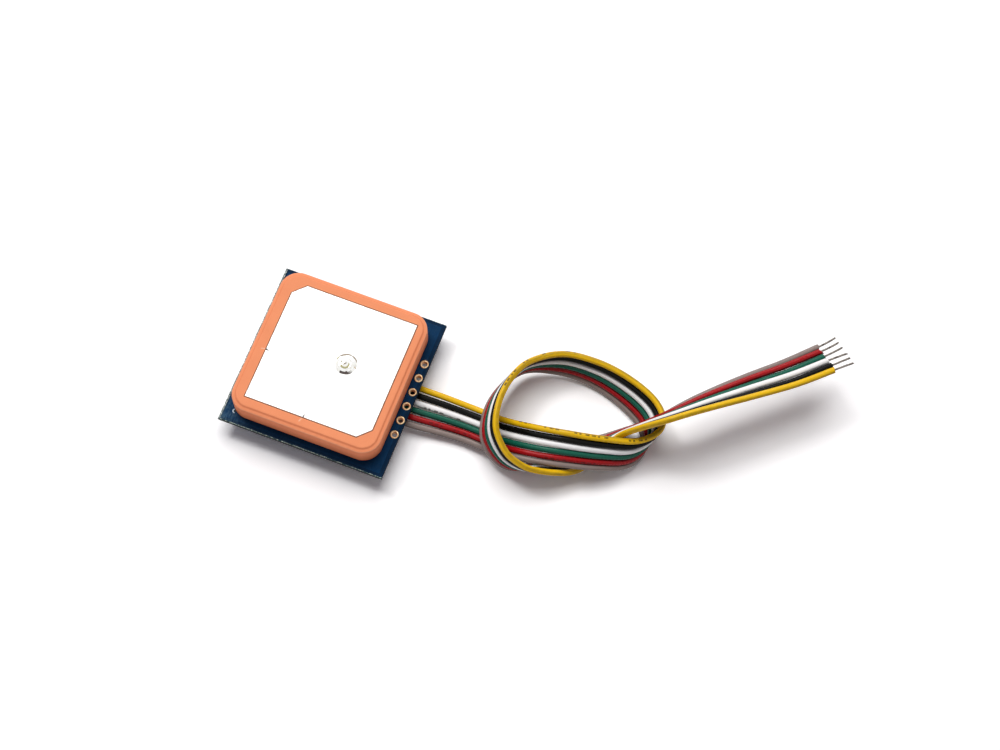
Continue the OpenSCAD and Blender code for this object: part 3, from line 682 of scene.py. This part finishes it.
def tip_piece(name, line, bow):
    """Twisted and tinned strands that stand out of a wire's cut end, slightly bent."""
    heading = headings(line)[-1]
    side = square_to(across[-1:], heading[None, :])[0]
    up = np.cross(heading, side)
    bend = (bow + RANDOM.uniform(-0.1, 0.1), RANDOM.uniform(-0.12, 0.12))
    build = Builder()
    for strand in range(STRANDS):
        lay_r = 0.0 if strand == STRANDS - 1 else STRAND_LAY_R
        phase = 2 * math.pi * strand / (STRANDS - 1)
        trim = RANDOM.uniform(0.0, 0.25)
        t = np.arange(STRAND_STEPS)[:, None] / (STRAND_STEPS - 1)
        angle = phase + 2 * math.pi * STRAND_TURNS * t
        off = lay_r * (np.cos(angle) * side + np.sin(angle) * up)
        drift = t * t * (bend[0] * side + bend[1] * up)
        path = line[-1] + heading * (-TIP_INSIDE + t * (TIP_L + TIP_INSIDE - trim)) + off + drift
        h = headings(path)
        h[0] = heading
        a = square_to(np.repeat(side[None, :], len(path), 0), h)
        build.loft(tube(path, STRAND_D / 2 * a, STRAND_D / 2 * np.cross(h, a)), 0, True, True)
    return build.piece(name, [STRAND], "tinned_metal")


for index, (name, colour, ink, shine, turn, prints, slant, hollow_shade) in enumerate(WIRES):
    line = wire_line(index)
    cover = insulation(name, colour, ink, shine, turn, prints, hollow_shade)
    mesh, length = wire_mesh("lead_" + name, line, cover, slant)
    lead = finish_piece("lead_" + name, mesh, ["wire_" + name], 50.0)
    tip = tip_piece("tip_" + name, line, TIP_BOW[index])
    if index == 0:
        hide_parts("wire_tips")

# Circuit board: mask on both faces, scored on the far side from the holes, with plain cut edges elsewhere

EDGE_STEPS = 60
# Sides in the order +X, +Y, -X and -Y: width of the chamfer, way inward, and the material of two of them
SCORE = (0.03, 0.08, 0.36, 0.15)
INWARD = ((-1, 0), (0, -1), (1, 0), (0, 1))
EDGE_KINDS = {0: 4, 2: 3}


def board_loop(z, shares, jitter):
    """The board's outline at one height: shares of the chamfers are taken off, and jitter makes it ragged."""
    x1, y1, x0, y0 = (half - share * width for half, share, width in zip(BOARD_HALF * 2, shares, SCORE))
    corners = [(x1, -y0), (x1, y1), (-x0, y1), (-x0, -y0)]
    loop = []
    for side in range(4):
        a, b = corners[side], corners[(side + 1) % 4]
        for k in range(EDGE_STEPS):
            t = k / EDGE_STEPS
            rough = jitter[side] * RANDOM.random() if k else 0.0
            point = [p + t * (q - p) + rough * way for p, q, way in zip(a, b, INWARD[side])]
            loop.append((*point, z))
    return loop


def plate_with_holes(build, outline, holes, z, up):
    """A flat face inside outline, with round holes of (centre, radius, sides)."""
    points, edges = [], []
    for ring in [[p[:2] for p in outline]] + [ring_points(*hole) for hole in holes]:
        first, count = len(points), len(ring)
        points += [Vector(p) for p in ring]
        edges += [(first + i, first + (i + 1) % count) for i in range(count)]
    verts, _, faces, _, _, _ = delaunay_2d_cdt(points, edges, [], 0, 1e-6)
    kept = []
    for face in faces:
        middle_at = (sum(verts[i].x for i in face) / len(face), sum(verts[i].y for i in face) / len(face))
        if all(math.dist(middle_at, centre) > r * 0.97 for centre, r, _ in holes):
            kept.append(tuple(face) if up else tuple(reversed(face)))
    build.add([(v.x, v.y, z) for v in verts], kept)


board = Builder()
hole_centres = [(HOLE_X, (i - (HOLE_COUNT - 1) / 2) * HOLE_PITCH) for i in range(HOLE_COUNT)]
holes = [(centre, HOLE_R, HOLE_SIDES) for centre in hole_centres] + [(FEED, FEED_HOLE_R, 32)]
RAGGED, WALL = (0.02, 0.03, 0.16, 0.05), (0.0, 0.02, 0.07, 0.02)
ALL, NONE, NEARLY = (1, 1, 1, 1), (0, 0, 0, 0), (0.1, 0.1, 0.8, 0.1)
ARRIS_H, third = 0.06, (BOARD_TOP - BOARD_UNDER) * 0.34
top_edge = board_loop(BOARD_TOP, ALL, RAGGED)
under_edge = board_loop(BOARD_UNDER, ALL, RAGGED)
walls = ((BOARD_UNDER + ARRIS_H, NEARLY), (BOARD_UNDER + third, NONE),
         (BOARD_TOP - third, NONE), (BOARD_TOP - ARRIS_H, NEARLY))
board.loft([under_edge] + [board_loop(z, shares, WALL) for z, shares in walls] + [top_edge], [2, 1, 1, 1, 2])
for number in range(len(board.faces)):
    side = (number % (4 * EDGE_STEPS)) // EDGE_STEPS
    board.kinds[number] = EDGE_KINDS.get(side, board.kinds[number])
plate_with_holes(board, top_edge, holes, BOARD_TOP, True)
plate_with_holes(board, under_edge, holes, BOARD_UNDER, False)
for centre, r, sides in holes:
    board.revolve([(r, BOARD_TOP), (r, BOARD_UNDER)], (*centre, 0), sides, 1)
board.piece("board", [MASK, FIBRE, ARRIS_FIBRES_AND_HIGHLIGHT, SCORED, ROUTED], "solder_mask", ["circuit_board"], 25.0)


def ridge(build, path, wide, high, kind):
    """A low rounded ridge along a path, pointed at both ends."""
    path = np.array(path, float)
    ahead = unit(np.gradient(path, axis=0))
    side = unit(np.cross(UPRIGHT, ahead))
    share = np.arange(len(path))[:, None] / (len(path) - 1)
    swell = 0.15 + 0.85 * np.sin(math.pi * share) ** 0.5
    build.loft(tube(path, swell * wide / 2 * side, swell * high * UPRIGHT), kind, True, True)


def arc_ridge(build, centre, radius, start, end, z, wide, high, kind):
    """A ridge along part of a circle."""
    ridge(build, [(x, y, z) for x, y in arc(centre, radius, start, end)], wide, high, kind)


# A small via by the board's corner, with a pale crescent painted on one side of its hole as a highlight, and
# its hole a dark disc of painted shade
VIA_AT = (-11.82, -11.78)
via = Builder()
via.revolve([(0.4, 0.0), (0.37, 0.02), (0.3, 0.03), (0.22, 0.022)], (*VIA_AT, BOARD_TOP), 28)
via.revolve([(0.22, 0.022), (0.17, 0.008), (0.03, 0.006)], (*VIA_AT, BOARD_TOP), 28, 1, False, True)
arc_ridge(via, VIA_AT, 0.31, 112, 290, BOARD_TOP + 0.026, 0.2, 0.03, 2)
via.piece("board_via", [MASK, CLEARANCE_AND_HOLE_SHADE, VIA_HIGHLIGHT], "solder_mask")

# Ring pads, rounded over into their plated barrels
pads = Builder()
PAD_H = PADS_TOP - BOARD_TOP
PAD_SEEN_R, BARREL_R, CLEARANCE_R = 0.67, 0.385, 0.77
PAD_FACE = [
    (CLEARANCE_R, 0.0), (CLEARANCE_R - 0.01, 0.006), (PAD_SEEN_R, 0.008), (PAD_SEEN_R - 0.03, PAD_H * 0.5),
    (PAD_SEEN_R - 0.09, PAD_H * 0.92), (PAD_SEEN_R - 0.14, PAD_H), (BARREL_R + 0.1, PAD_H * 0.85),
    (BARREL_R + 0.05, PAD_H * 0.3), (BARREL_R + 0.02, -0.06), (BARREL_R, -0.16),
]
PAD_KINDS = [2, 2, 0, 0, 0, 0, 0, 1, 1]
# Burrs of copper beside three of the pads, from the hole's line and its centre
BURR = ((0.74, -0.16), (0.78, -0.05), (0.77, 0.06), (0.73, 0.15))
rows = [(r, BOARD_TOP + h) for r, h in PAD_FACE] + [(r, BOARD_UNDER - h) for r, h in reversed(PAD_FACE)]
for centre in hole_centres:
    pads.revolve(rows, (*centre, 0), HOLE_SIDES, PAD_KINDS + [1] + PAD_KINDS[::-1])
pads.faces = [tuple(reversed(f)) for f in pads.faces]
for centre in hole_centres[1:4]:
    y = centre[1] + RANDOM.uniform(-0.08, 0.04)
    ridge(pads, [(HOLE_X + out, y + along, BOARD_TOP) for out, along in BURR], 0.13, 0.03, 3)
pads.piece("ring_pads", [GOLD, BARREL, CLEARANCE_AND_HOLE_SHADE, OLIVE], "gold_plate", ["plated_holes"], 60.0)

# Antenna block: upright walls, a rounded arris coloured lighter as a painted highlight, a sloping band and a
# small step up to the flat top, coloured a little darker as painted shade
# Inset and height of each row
BLOCK_ROWS = [
    (0.5, 0.0), (0.16, 0.0), (0.05, 0.05), (0.0, 0.18), (0.0, 1.2), (0.0, 2.4), (0.0, 3.42), (0.012, 3.52),
    (0.05, 3.6), (0.12, 3.655), (0.3, 3.71), (0.44, 3.75), (0.5, 3.77), (0.57, 3.82), (0.65, 3.89),
    (0.72, 3.95), (0.78, 3.985), (0.87, 4.0),
]
ARRIS_ROWS, GROOVE_ROWS = (7, 8), (12, 13, 14)
block = Builder()
block_loops = []
for inset, height in BLOCK_ROWS:
    half = ANTENNA_HALF - inset
    flat = rounded_rectangle(half, half, ANTENNA_R - inset, 20, 24)
    block_loops.append([(ANTENNA_X + x, y, ceramic_low[2] + height) for x, y in flat])
block_kinds = [0] * (len(BLOCK_ROWS) - 1)
for kind, rows in ((1, GROOVE_ROWS), (2, ARRIS_ROWS)):
    for row in rows:
        block_kinds[row] = kind
block.loft(block_loops, block_kinds, True, True)
block.piece("antenna_block", [CERAMIC, SHADED_GROOVE, ARRIS_HIGHLIGHT], "antenna_ceramic", ["antenna_ceramic"], 60.0)

# Silver patch: a thick printed film with a dark rim, two clipped corners and two tuning cuts
PATCH_CLIP, CUT_L, CUT_HALF, RIM_W = 2.0, 0.62, 0.05, 0.18
px0, py0, px1, py1 = *patch_low[:2], *patch_high[:2]
CUT_X, CUT_Y = px0 + 10.0, py0 + 8.5


def patch_outline(i):
    """The patch's outline, set in by i."""
    c = i * math.tan(math.radians(22.5))
    tip = CUT_L + i * 0.3
    w = CUT_HALF + i * 0.25
    return [
        (px0 + i, py0 + i), (CUT_X - w, py0 + i), (CUT_X - i * 0.2, py0 + tip),
        (CUT_X + i * 0.2 + 0.04, py0 + tip), (CUT_X + w, py0 + i), (px1 - PATCH_CLIP - c, py0 + i),
        (px1 - i, py0 + PATCH_CLIP + c), (px1 - i, py1 - i), (px0 + PATCH_CLIP + c, py1 - i),
        (px0 + i, py1 - PATCH_CLIP - c), (px0 + i, CUT_Y + w), (px0 + tip, CUT_Y + i * 0.2 + 0.04),
        (px0 + tip, CUT_Y - i * 0.2), (px0 + i, CUT_Y - w),
    ]


patch = Builder()
film = patch_high[2] - patch_low[2]
rows = [(0.0, 0.0), (0.015, film * 0.6), (RIM_W, film * 0.98), (RIM_W + 0.02, film)]
patch_loops = [[(x, y, patch_low[2] + h) for x, y in patch_outline(i)] for i, h in rows]
patch.loft(patch_loops, [1, 1, 0], False, True)
patch.piece("silver_patch", [SILVER, SILVER_RIM], "silver_layer", ["antenna_patch"], 40.0)

# Tuning marks: pale scratches on the ceramic, dark cuts in the patch
marks = Builder()


def sliver(start, end, width, z, kind):
    """A thin flat mark, pointed at both ends."""
    a, b = np.array(start, float), np.array(end, float)
    along = b - a
    n = np.array([-along[1], along[0]]) * width / 2 / np.linalg.norm(along)
    flat = [a, a + 0.2 * along - n, a + 0.8 * along - n, b, a + 0.8 * along + n, a + 0.2 * along + n]
    centre = (a + b) / 2
    rows = [[(*(centre + (p - centre) * share), z + up) for p in flat]
            for share, up in ((1.0, 0.0), (0.86, 0.012))]
    marks.loft(rows, kind, False, True)


SCRATCH_W, BURN_W = 0.24, 0.2
sliver((-11.2, -1.98), (-10.36, -1.8), SCRATCH_W, CERAMIC_TOP, 0)
sliver((-10.46, -1.8), (-9.74, -1.95), BURN_W, patch_high[2], 1)
sliver((-0.86, -11.2), (-0.5, -10.3), SCRATCH_W, CERAMIC_TOP, 0)
sliver((-0.5, -10.42), (-0.38, -9.74), BURN_W, patch_high[2], 1)
marks.piece("tuning_marks", [CUT_LIGHT, CUT_DARK], "antenna_ceramic")

# Feed: a solder drop over the pin's head, with flux left around the pin, and thin olive and grey arcs just
# outside the drop's foot on its far side
drop = Builder()
DROP_SIDES, DROP_R, DROP_SPREAD = 72, 1.62, 1.06
DROP_ROWS = [
    (DROP_R, 0.0), (1.6, 0.03), (1.45, 0.225), (1.3, 0.42), (1.22, 0.5), (1.12, 0.56), (1.0, 0.605),
    (0.86, 0.63), (0.76, 0.63), (0.7, 0.615), (0.62, 0.615), (0.5, 0.64), (0.3, 0.66), (0.12, 0.665),
    (0.03, 0.665),
]
drop_loops = []
for r, h in DROP_ROWS:
    loop = []
    for a in turns(DROP_SIDES):
        wobble = 0.018 * math.sin(2 * a + 0.6) + 0.012 * math.sin(3 * a + 2.0) + 0.008 * math.sin(5 * a)
        dent = 0.012 * math.sin(3 * a + 1.1 + r) * math.exp(-((r - 0.6) / 0.3) ** 2)
        radius = DROP_SPREAD * r * (1 + wobble * (0.4 + 0.6 * r / DROP_R))
        x, y = FEED[0] + radius * math.cos(a), FEED[1] + radius * math.sin(a)
        loop.append((x, y, patch_high[2] + h + dent))
    drop_loops.append(loop)
drop.loft(drop_loops, 0, False, True)
FLUX_AT, FLUX_Z, FLUX_H = (FEED[0] - 0.1, FEED[1] - 0.16), patch_high[2] + 0.65, 0.05
FLUX_RING_R, FOOT_ARC_R = 0.62, 1.79
FLUX_TAIL = ((-0.42, -0.2, 0.01), (-0.1, 0.0, 0.02), (0.12, 0.2, 0.02), (0.18, 0.34, 0.01))
arc_ridge(drop, FLUX_AT, FLUX_RING_R, 150, 400, FLUX_Z, 0.32, FLUX_H, 1)
ridge(drop, [(FLUX_AT[0] + x, FLUX_AT[1] + y, FLUX_Z + up) for x, y, up in FLUX_TAIL], 0.26, FLUX_H, 2)
for start, end, kind, wide in ((30, 84, 2, 0.18), (78, 150, 2, 0.22), (144, 172, 1, 0.12)):
    arc_ridge(drop, FEED, FOOT_ARC_R, start, end, patch_high[2] + 0.01, wide, FLUX_H, kind)
drop.piece("feed_drop", [SOLDER, FLUX, FLUX_DARK], "tinned_metal", ["feed_solder_top"], 70.0)

# CAD nodes that keep their shape

for dressed in (
    ("feed_pin", TIN), ("feed_solder_bottom", SOLDER), ("antenna_ground", SILVER),
    ("antenna_tape", TAPE), ("header_housing", HEADER, 0.05), ("header_contacts", GOLD, 0.03),
    ("header_tabs", TIN, 0.03), ("plug_housing", PLUG, 0.05), ("crimp_terminals", TIN),
    ("shield_can", CAN), ("receiver_chip", EPOXY), ("reference_oscillator", LID),
    ("clock_crystal", LID), ("saw_filter", LID), ("low_noise_amplifier", EPOXY),
    ("flash_memory", EPOXY), ("voltage_regulator", EPOXY, 0.04), ("regulator_leads", TIN, 0.02),
    ("backup_cell", CELL, 0.06), ("backup_cell_tabs", TIN, 0.02), ("status_led", LAMP, 0.03),
    ("chip_capacitors", CAPACITOR, 0.02), ("chip_resistors", RESISTOR, 0.02),
    ("chip_inductors", FERRITE, 0.02),
):
    dress(*dressed)

# Underside: solder lands and fillets, metal ends of the chips, tracks and vias, plain white lines

LAND_H, FILLET_UP, FILLET_BACK, TRACK_W, TRACK_H, TRACK_SLOPE = 0.035, 0.02, 0.08, 0.26, 0.03, 0.03
STRIPE_HALF, STRIPE_H, SUNK, THIN_R = 0.07, 0.03, 0.01, 0.02
ends, joints, silk, tracks = Builder(), Builder(), Builder(), Builder()


def thin_plate(build, low, high, more, thick):
    """A thin plate on the board's under face, from low to high and by more all round."""
    low, high = np.array(low) - more, np.array(high) + more
    build.rounded_box((*low, BOARD_UNDER - thick), (*high, BOARD_UNDER + SUNK), THIN_R, 2)


def land(centre, size):
    """A tinned land."""
    thin_plate(joints, centre, centre, np.array(size) / 2, LAND_H)


def stripe(low, high):
    """A plain printed line, along X or along Y."""
    thin_plate(silk, low, high, STRIPE_HALF, STRIPE_H)


def fillet(foot, out, wide, reach, high):
    """A hollow slope of solder from a metal end, at foot, out along a land."""
    side = np.array((-out[1], out[0]))
    loops = []
    for k in range(9):
        share = 2 * k / 8 - 1
        full = math.sqrt(max(0.0, 1 - share**4)) * 0.9 + 0.1
        curve = quarter(reach * full, high * full, 5)
        section = [(-FILLET_BACK, 0.0)] + curve + [(-FILLET_BACK, curve[-1][1])]
        loops.append([(*(foot + out * o + side * share * wide / 2), BOARD_UNDER - FILLET_UP - up)
                      for o, up in section])
    joints.loft(loops, 0, True, True)


def track(points):
    """A copper track under the mask, with mitred corners and sloping sides."""
    p = np.array(points, float)
    d = unit(np.diff(p, axis=0))
    n = np.stack([-d[:, 1], d[:, 0]], axis=1)
    joint = np.vstack([n[:1], unit(n[:-1] + n[1:]), n[-1:]])
    grow = np.concatenate([[1.0], 1 / np.sum(joint[1:-1] * n[1:], axis=1), [1.0]])[:, None]
    foot, top = TRACK_W / 2, TRACK_W / 2 - TRACK_SLOPE
    section = ((foot, SUNK), (top, -TRACK_H), (-top, -TRACK_H), (-foot, SUNK))
    loops = [[(at[0] + s * off[0], at[1] + s * off[1], BOARD_UNDER + z) for s, z in section]
             for at, off in zip(p, joint * grow)]
    tracks.loft(loops, 0, True, True)


# Chips outside the can: centre, length, width and height, and 1 where the long side lies along Y
SMALL, LARGE, COIL, LED = (1.0, 0.5, 0.35), (1.6, 0.8, 0.8), (1.6, 1.2, 1.0), (1.6, 0.8, 0.3)
CHIPS = (
    ((5.55, -10.65), LARGE, 1), ((5.55, -8.45), LARGE, 1), ((11.35, -9.25), LARGE, 1),
    ((9.55, -12.65), SMALL, 0), ((7.75, -12.65), SMALL, 0), ((-1.4, 12.05), SMALL, 0),
    ((-3.2, 12.05), SMALL, 0), ((-6.4, 11.65), COIL, 0), ((2.2, 11.65), COIL, 0), ((11.95, -12.25), LED, 0),
)
PLATE_T, END_R, LAND_OUT, LAND_MORE, FILLET_L = 0.012, 0.05, 0.13, (0.34, 0.12), 0.22
for centre, (length, width, height), along_y in CHIPS:
    cap = length * 0.2
    for sign in (-1, 1):
        out = np.roll((sign, 0), along_y)
        at = centre + out * (length - cap) / 2
        size = np.roll((cap, width), along_y)
        ends.rounded_box((*(at - size / 2 - PLATE_T), BOARD_UNDER - height - PLATE_T),
                         (*(at + size / 2 + PLATE_T), BOARD_UNDER), END_R, 3)
        land(at + out * LAND_OUT, size + np.roll(LAND_MORE, along_y))
        fillet(centre + out * length / 2, out, width * 0.96, FILLET_L, height * 0.62)
ends.piece("chip_ends", [TIN], "tinned_metal")

leads_low, leads_high = millimetres("regulator_leads")
tabs_low, tabs_high = millimetres("header_tabs")
cell_low, cell_high = millimetres("backup_cell_tabs")
contacts_low, _ = millimetres("header_contacts")
body_low, body_high = millimetres("voltage_regulator")
LEAD_PITCH, LEAD_LAND, CONTACT_LAND, CELL_LAND = 0.95, (0.56, 0.62), (0.95, 0.6), (1.1, 1.7)
TAB_LAND = (tabs_high[0] - tabs_low[0] + 0.3, 1.1)
for y, steps in ((leads_low[1] + 0.1, (-1, 0, 1)), (leads_high[1] - 0.1, (-1, 1))):
    for step in steps:
        land((middle_of("regulator_leads")[0] + step * LEAD_PITCH, y), LEAD_LAND)
for i in range(WIRE_COUNT):
    land((contacts_low[0] + 0.2, (i - (WIRE_COUNT - 1) / 2) * (WIRE_D + PLUG_GAP)), CONTACT_LAND)
for y in (tabs_low[1] + 0.3, tabs_high[1] - 0.3):
    land((middle_of("header_tabs")[0], y), TAB_LAND)
for x in (cell_low[0] + 0.35, cell_high[0] - 0.35):
    land((x, middle_of("backup_cell_tabs")[1]), CELL_LAND)
joints.piece("solder_joints", [TIN], "tinned_metal")

for points in (
    [(4.3, -3.125), (4.0, -3.6), (4.0, -7.6), (4.6, -8.2), (4.6, -9.55), (5.2, -9.55)],
    [(contacts_low[0] - 0.1, 3.125), (4.15, 3.5), (4.15, 9.4), (5.0, 10.25), (cell_low[0] - 0.1, 10.25)],
    [(HOLE_X - 0.6, 6.35), (11.9, 6.0), (11.9, 5.5), (10.9, 5.2)],
    [(HOLE_X - 0.6, -6.35), (12.0, -7.2), (11.35, -7.9), (11.35, -8.4)],
    [(6.3, -12.65), (4.4, -12.65), (2.0, -10.6), (2.0, -8.7)], [(8.25, -12.65), (9.05, -12.65)],
    [(10.05, -12.65), (10.7, -12.5), (11.1, -12.25)],
    [(10.0, -11.7), (10.6, -11.1), (11.35, -11.1), (11.35, -10.1)],
    [(8.1, -8.9), (8.1, -8.3), (6.6, -7.65), (5.55, -7.65)],
    [(8.1, -11.9), (7.2, -11.9), (6.6, -11.5), (5.6, -11.5)],
    [(-5.6, 11.65), (-4.6, 12.05), (-3.7, 12.05)], [(-2.7, 12.05), (-1.9, 12.05)],
    [(-0.9, 12.05), (0.4, 11.65), (1.4, 11.65)], [(-7.2, 11.65), (-9.4, 11.65), (-10.6, 10.4), (-10.6, 8.7)],
    [(3.0, 11.65), (4.4, 12.4), (8.0, 13.0), (11.6, 13.0), (12.6, 12.0), (12.6, 7.1)],
    [(-12.95, -12.2), (-12.95, 12.2)], [(-8.0, -12.4), (-8.0, -8.7)],
    [(-4.4, -11.2), (-4.4, -8.7)], [(-1.0, -12.4), (-1.0, -8.7)],
):
    track(points)
VIAS = [(x, y) for x in (-12.3, -9.8, -7.2, -4.6, -2.0, 0.6, 3.2) for y in (-13.05, 13.05)]
VIAS += [(-8.0, -12.4), (-4.4, -11.2), (-1.0, -12.4), (-10.6, -10.2), (0.9, -11.0), (4.4, -5.4), (4.4, 5.6),
         (11.9, -5.5), (6.4, 7.4), (12.3, 9.0)]
VIA_ROWS = [(0.05, -0.012), (0.12, -0.012), (0.17, -0.03), (0.26, -0.036), (0.34, -0.03), (0.38, SUNK)]
for at in VIAS:
    tracks.revolve(VIA_ROWS, (*at, BOARD_UNDER), 24, 0, True)
tracks.piece("mask_over_tracks", [MASK], "solder_mask")


def frame_line(x0, y0, x1, y1):
    """A plain printed rectangle around parts."""
    for y in (y0, y1):
        stripe((x0, y), (x1, y))
    for x in (x0, x1):
        stripe((x, y0 + 0.15), (x, y1 - 0.15))


frame_line(4.78, -12.05, 6.32, -7.1)
frame_line(10.62, -10.6, 12.08, -7.9)
for x in (-6.4, 2.2):
    frame_line(x - 1.3, 10.75, x + 1.3, 12.55)
frame_line(body_low[0] - 0.35, body_low[1] - 1.15, body_high[0] + 0.05, body_high[1] + 1.15)
stripe((10.72, -13.1), (10.72, -11.4))
DOT_AT, DOT_ROWS = (4.2, -4.3), [(0.03, -STRIPE_H), (0.2, -STRIPE_H), (0.24, -0.02), (0.25, SUNK)]
silk.revolve(DOT_ROWS, (*DOT_AT, BOARD_UNDER), 24, 0, True)
silk.piece("printed_lines", [PRINT], "solder_mask")

# Floor, background and soft light

FLOOR_HALF, FLOOR_COLOUR, FLOOR_MIRRORED, FLOOR_SEEN = 3.0, 0.92, 1.0, 1.2
WORLD_LIGHT = (0.225, 0.207, 0.22, 1)
LAMP_AIM = (0.022, 0.005, 0.0)
# Direction, distance, width, share of the light, and whether it shows in reflections
LAMPS = (
    ("key", (-0.145, 0.38, 0.914), 0.9, 0.7, 0.66, False),
    ("side", (-0.5, 0.22, 0.86), 0.9, 0.2, 0.17, True),
)
# Cards that only reflections see: the way they lie, their distance, foot, top, half width, colour and glow
CARDS = (
    ("flag", (0.357, -0.934), 0.7, 0.0, 0.13, 0.78, (0.15, 0.12, 0.11, 1), 0.0),
    ("stand", (0.357, -0.934), 0.69, 0.0, 0.36, 0.1, (0.15, 0.12, 0.11, 1), 0.0),
    ("strip", (-0.357, 0.934), 0.7, 0.5, 0.95, 0.5, (1, 1, 1, 1), 4.0),
)


def card(name, corners):
    """A flat piece of the stage, with a material of its own."""
    mesh = bpy.data.meshes.new(name)
    mesh.from_pydata(corners, [], [(0, 1, 2, 3)])
    obj = place(name, mesh)
    material = bpy.data.materials.new(name)
    mesh.materials.append(material)
    return obj, Shader(material)


def grey(level):
    return (level, level, level, 1)


half = FLOOR_HALF
_, shader = card("floor", [(-half, -half, 0), (half, -half, 0), (half, half, 0), (-half, half, 0)])
shader.nodes.remove(shader.nodes["Principled BSDF"])
paper = shader.nodes.new("ShaderNodeBsdfDiffuse")
mirrored = shader.rays("Is Glossy Ray", "Is Transmission Ray")
paint = shader.mix(mirrored, grey(FLOOR_COLOUR), grey(FLOOR_MIRRORED))
shader.join(shader.mix(shader.rays("Is Camera Ray"), paint, grey(FLOOR_SEEN)), paper.inputs["Color"])
shader.join(paper.outputs["BSDF"], shader.nodes["Material Output"].inputs["Surface"])

for name, toward, away, low, high, half, colour, glow in CARDS:
    corners = [(toward[0] * away - toward[1] * aside, toward[1] * away + toward[0] * aside, up)
               for aside, up in ((-half, low), (half, low), (half, high), (-half, high))]
    hidden, shader = card(name, corners)
    for rays in ("camera", "shadow", "diffuse", "transmission"):
        setattr(hidden, "visible_" + rays, False)
    paint = shader.nodes["Principled BSDF"].inputs
    paint["Base Color"].default_value = paint["Emission Color"].default_value = colour
    paint["Emission Strength"].default_value = glow
    paint["Roughness"].default_value = 1.0

world = bpy.data.worlds.new("studio")
SCENE.world = world
shader = Shader(world)
seen = shader.rays("Is Camera Ray", "Is Glossy Ray", "Is Transmission Ray")
shader.join(shader.mix(seen, WORLD_LIGHT, grey(1.0)), shader.nodes["Background"].inputs["Color"])
world.cycles.sampling_method = "NONE"

for name, toward, reach, size, share, mirrored in LAMPS:
    aim = Vector(toward).normalized()
    lamp = bpy.data.lights.new(name, "AREA")
    lamp.shape = "DISK"
    lamp.size = size
    lamp.energy = share * math.pi**2 * reach**2 / aim.z
    lamp_object = place(name, lamp)
    lamp_object.location = Vector(LAMP_AIM) + aim * reach
    lamp_object.visible_glossy = mirrored
    lamp_object.rotation_euler = aim.to_track_quat("Z", "Y").to_euler()

SCENE.view_settings.view_transform = "Standard"
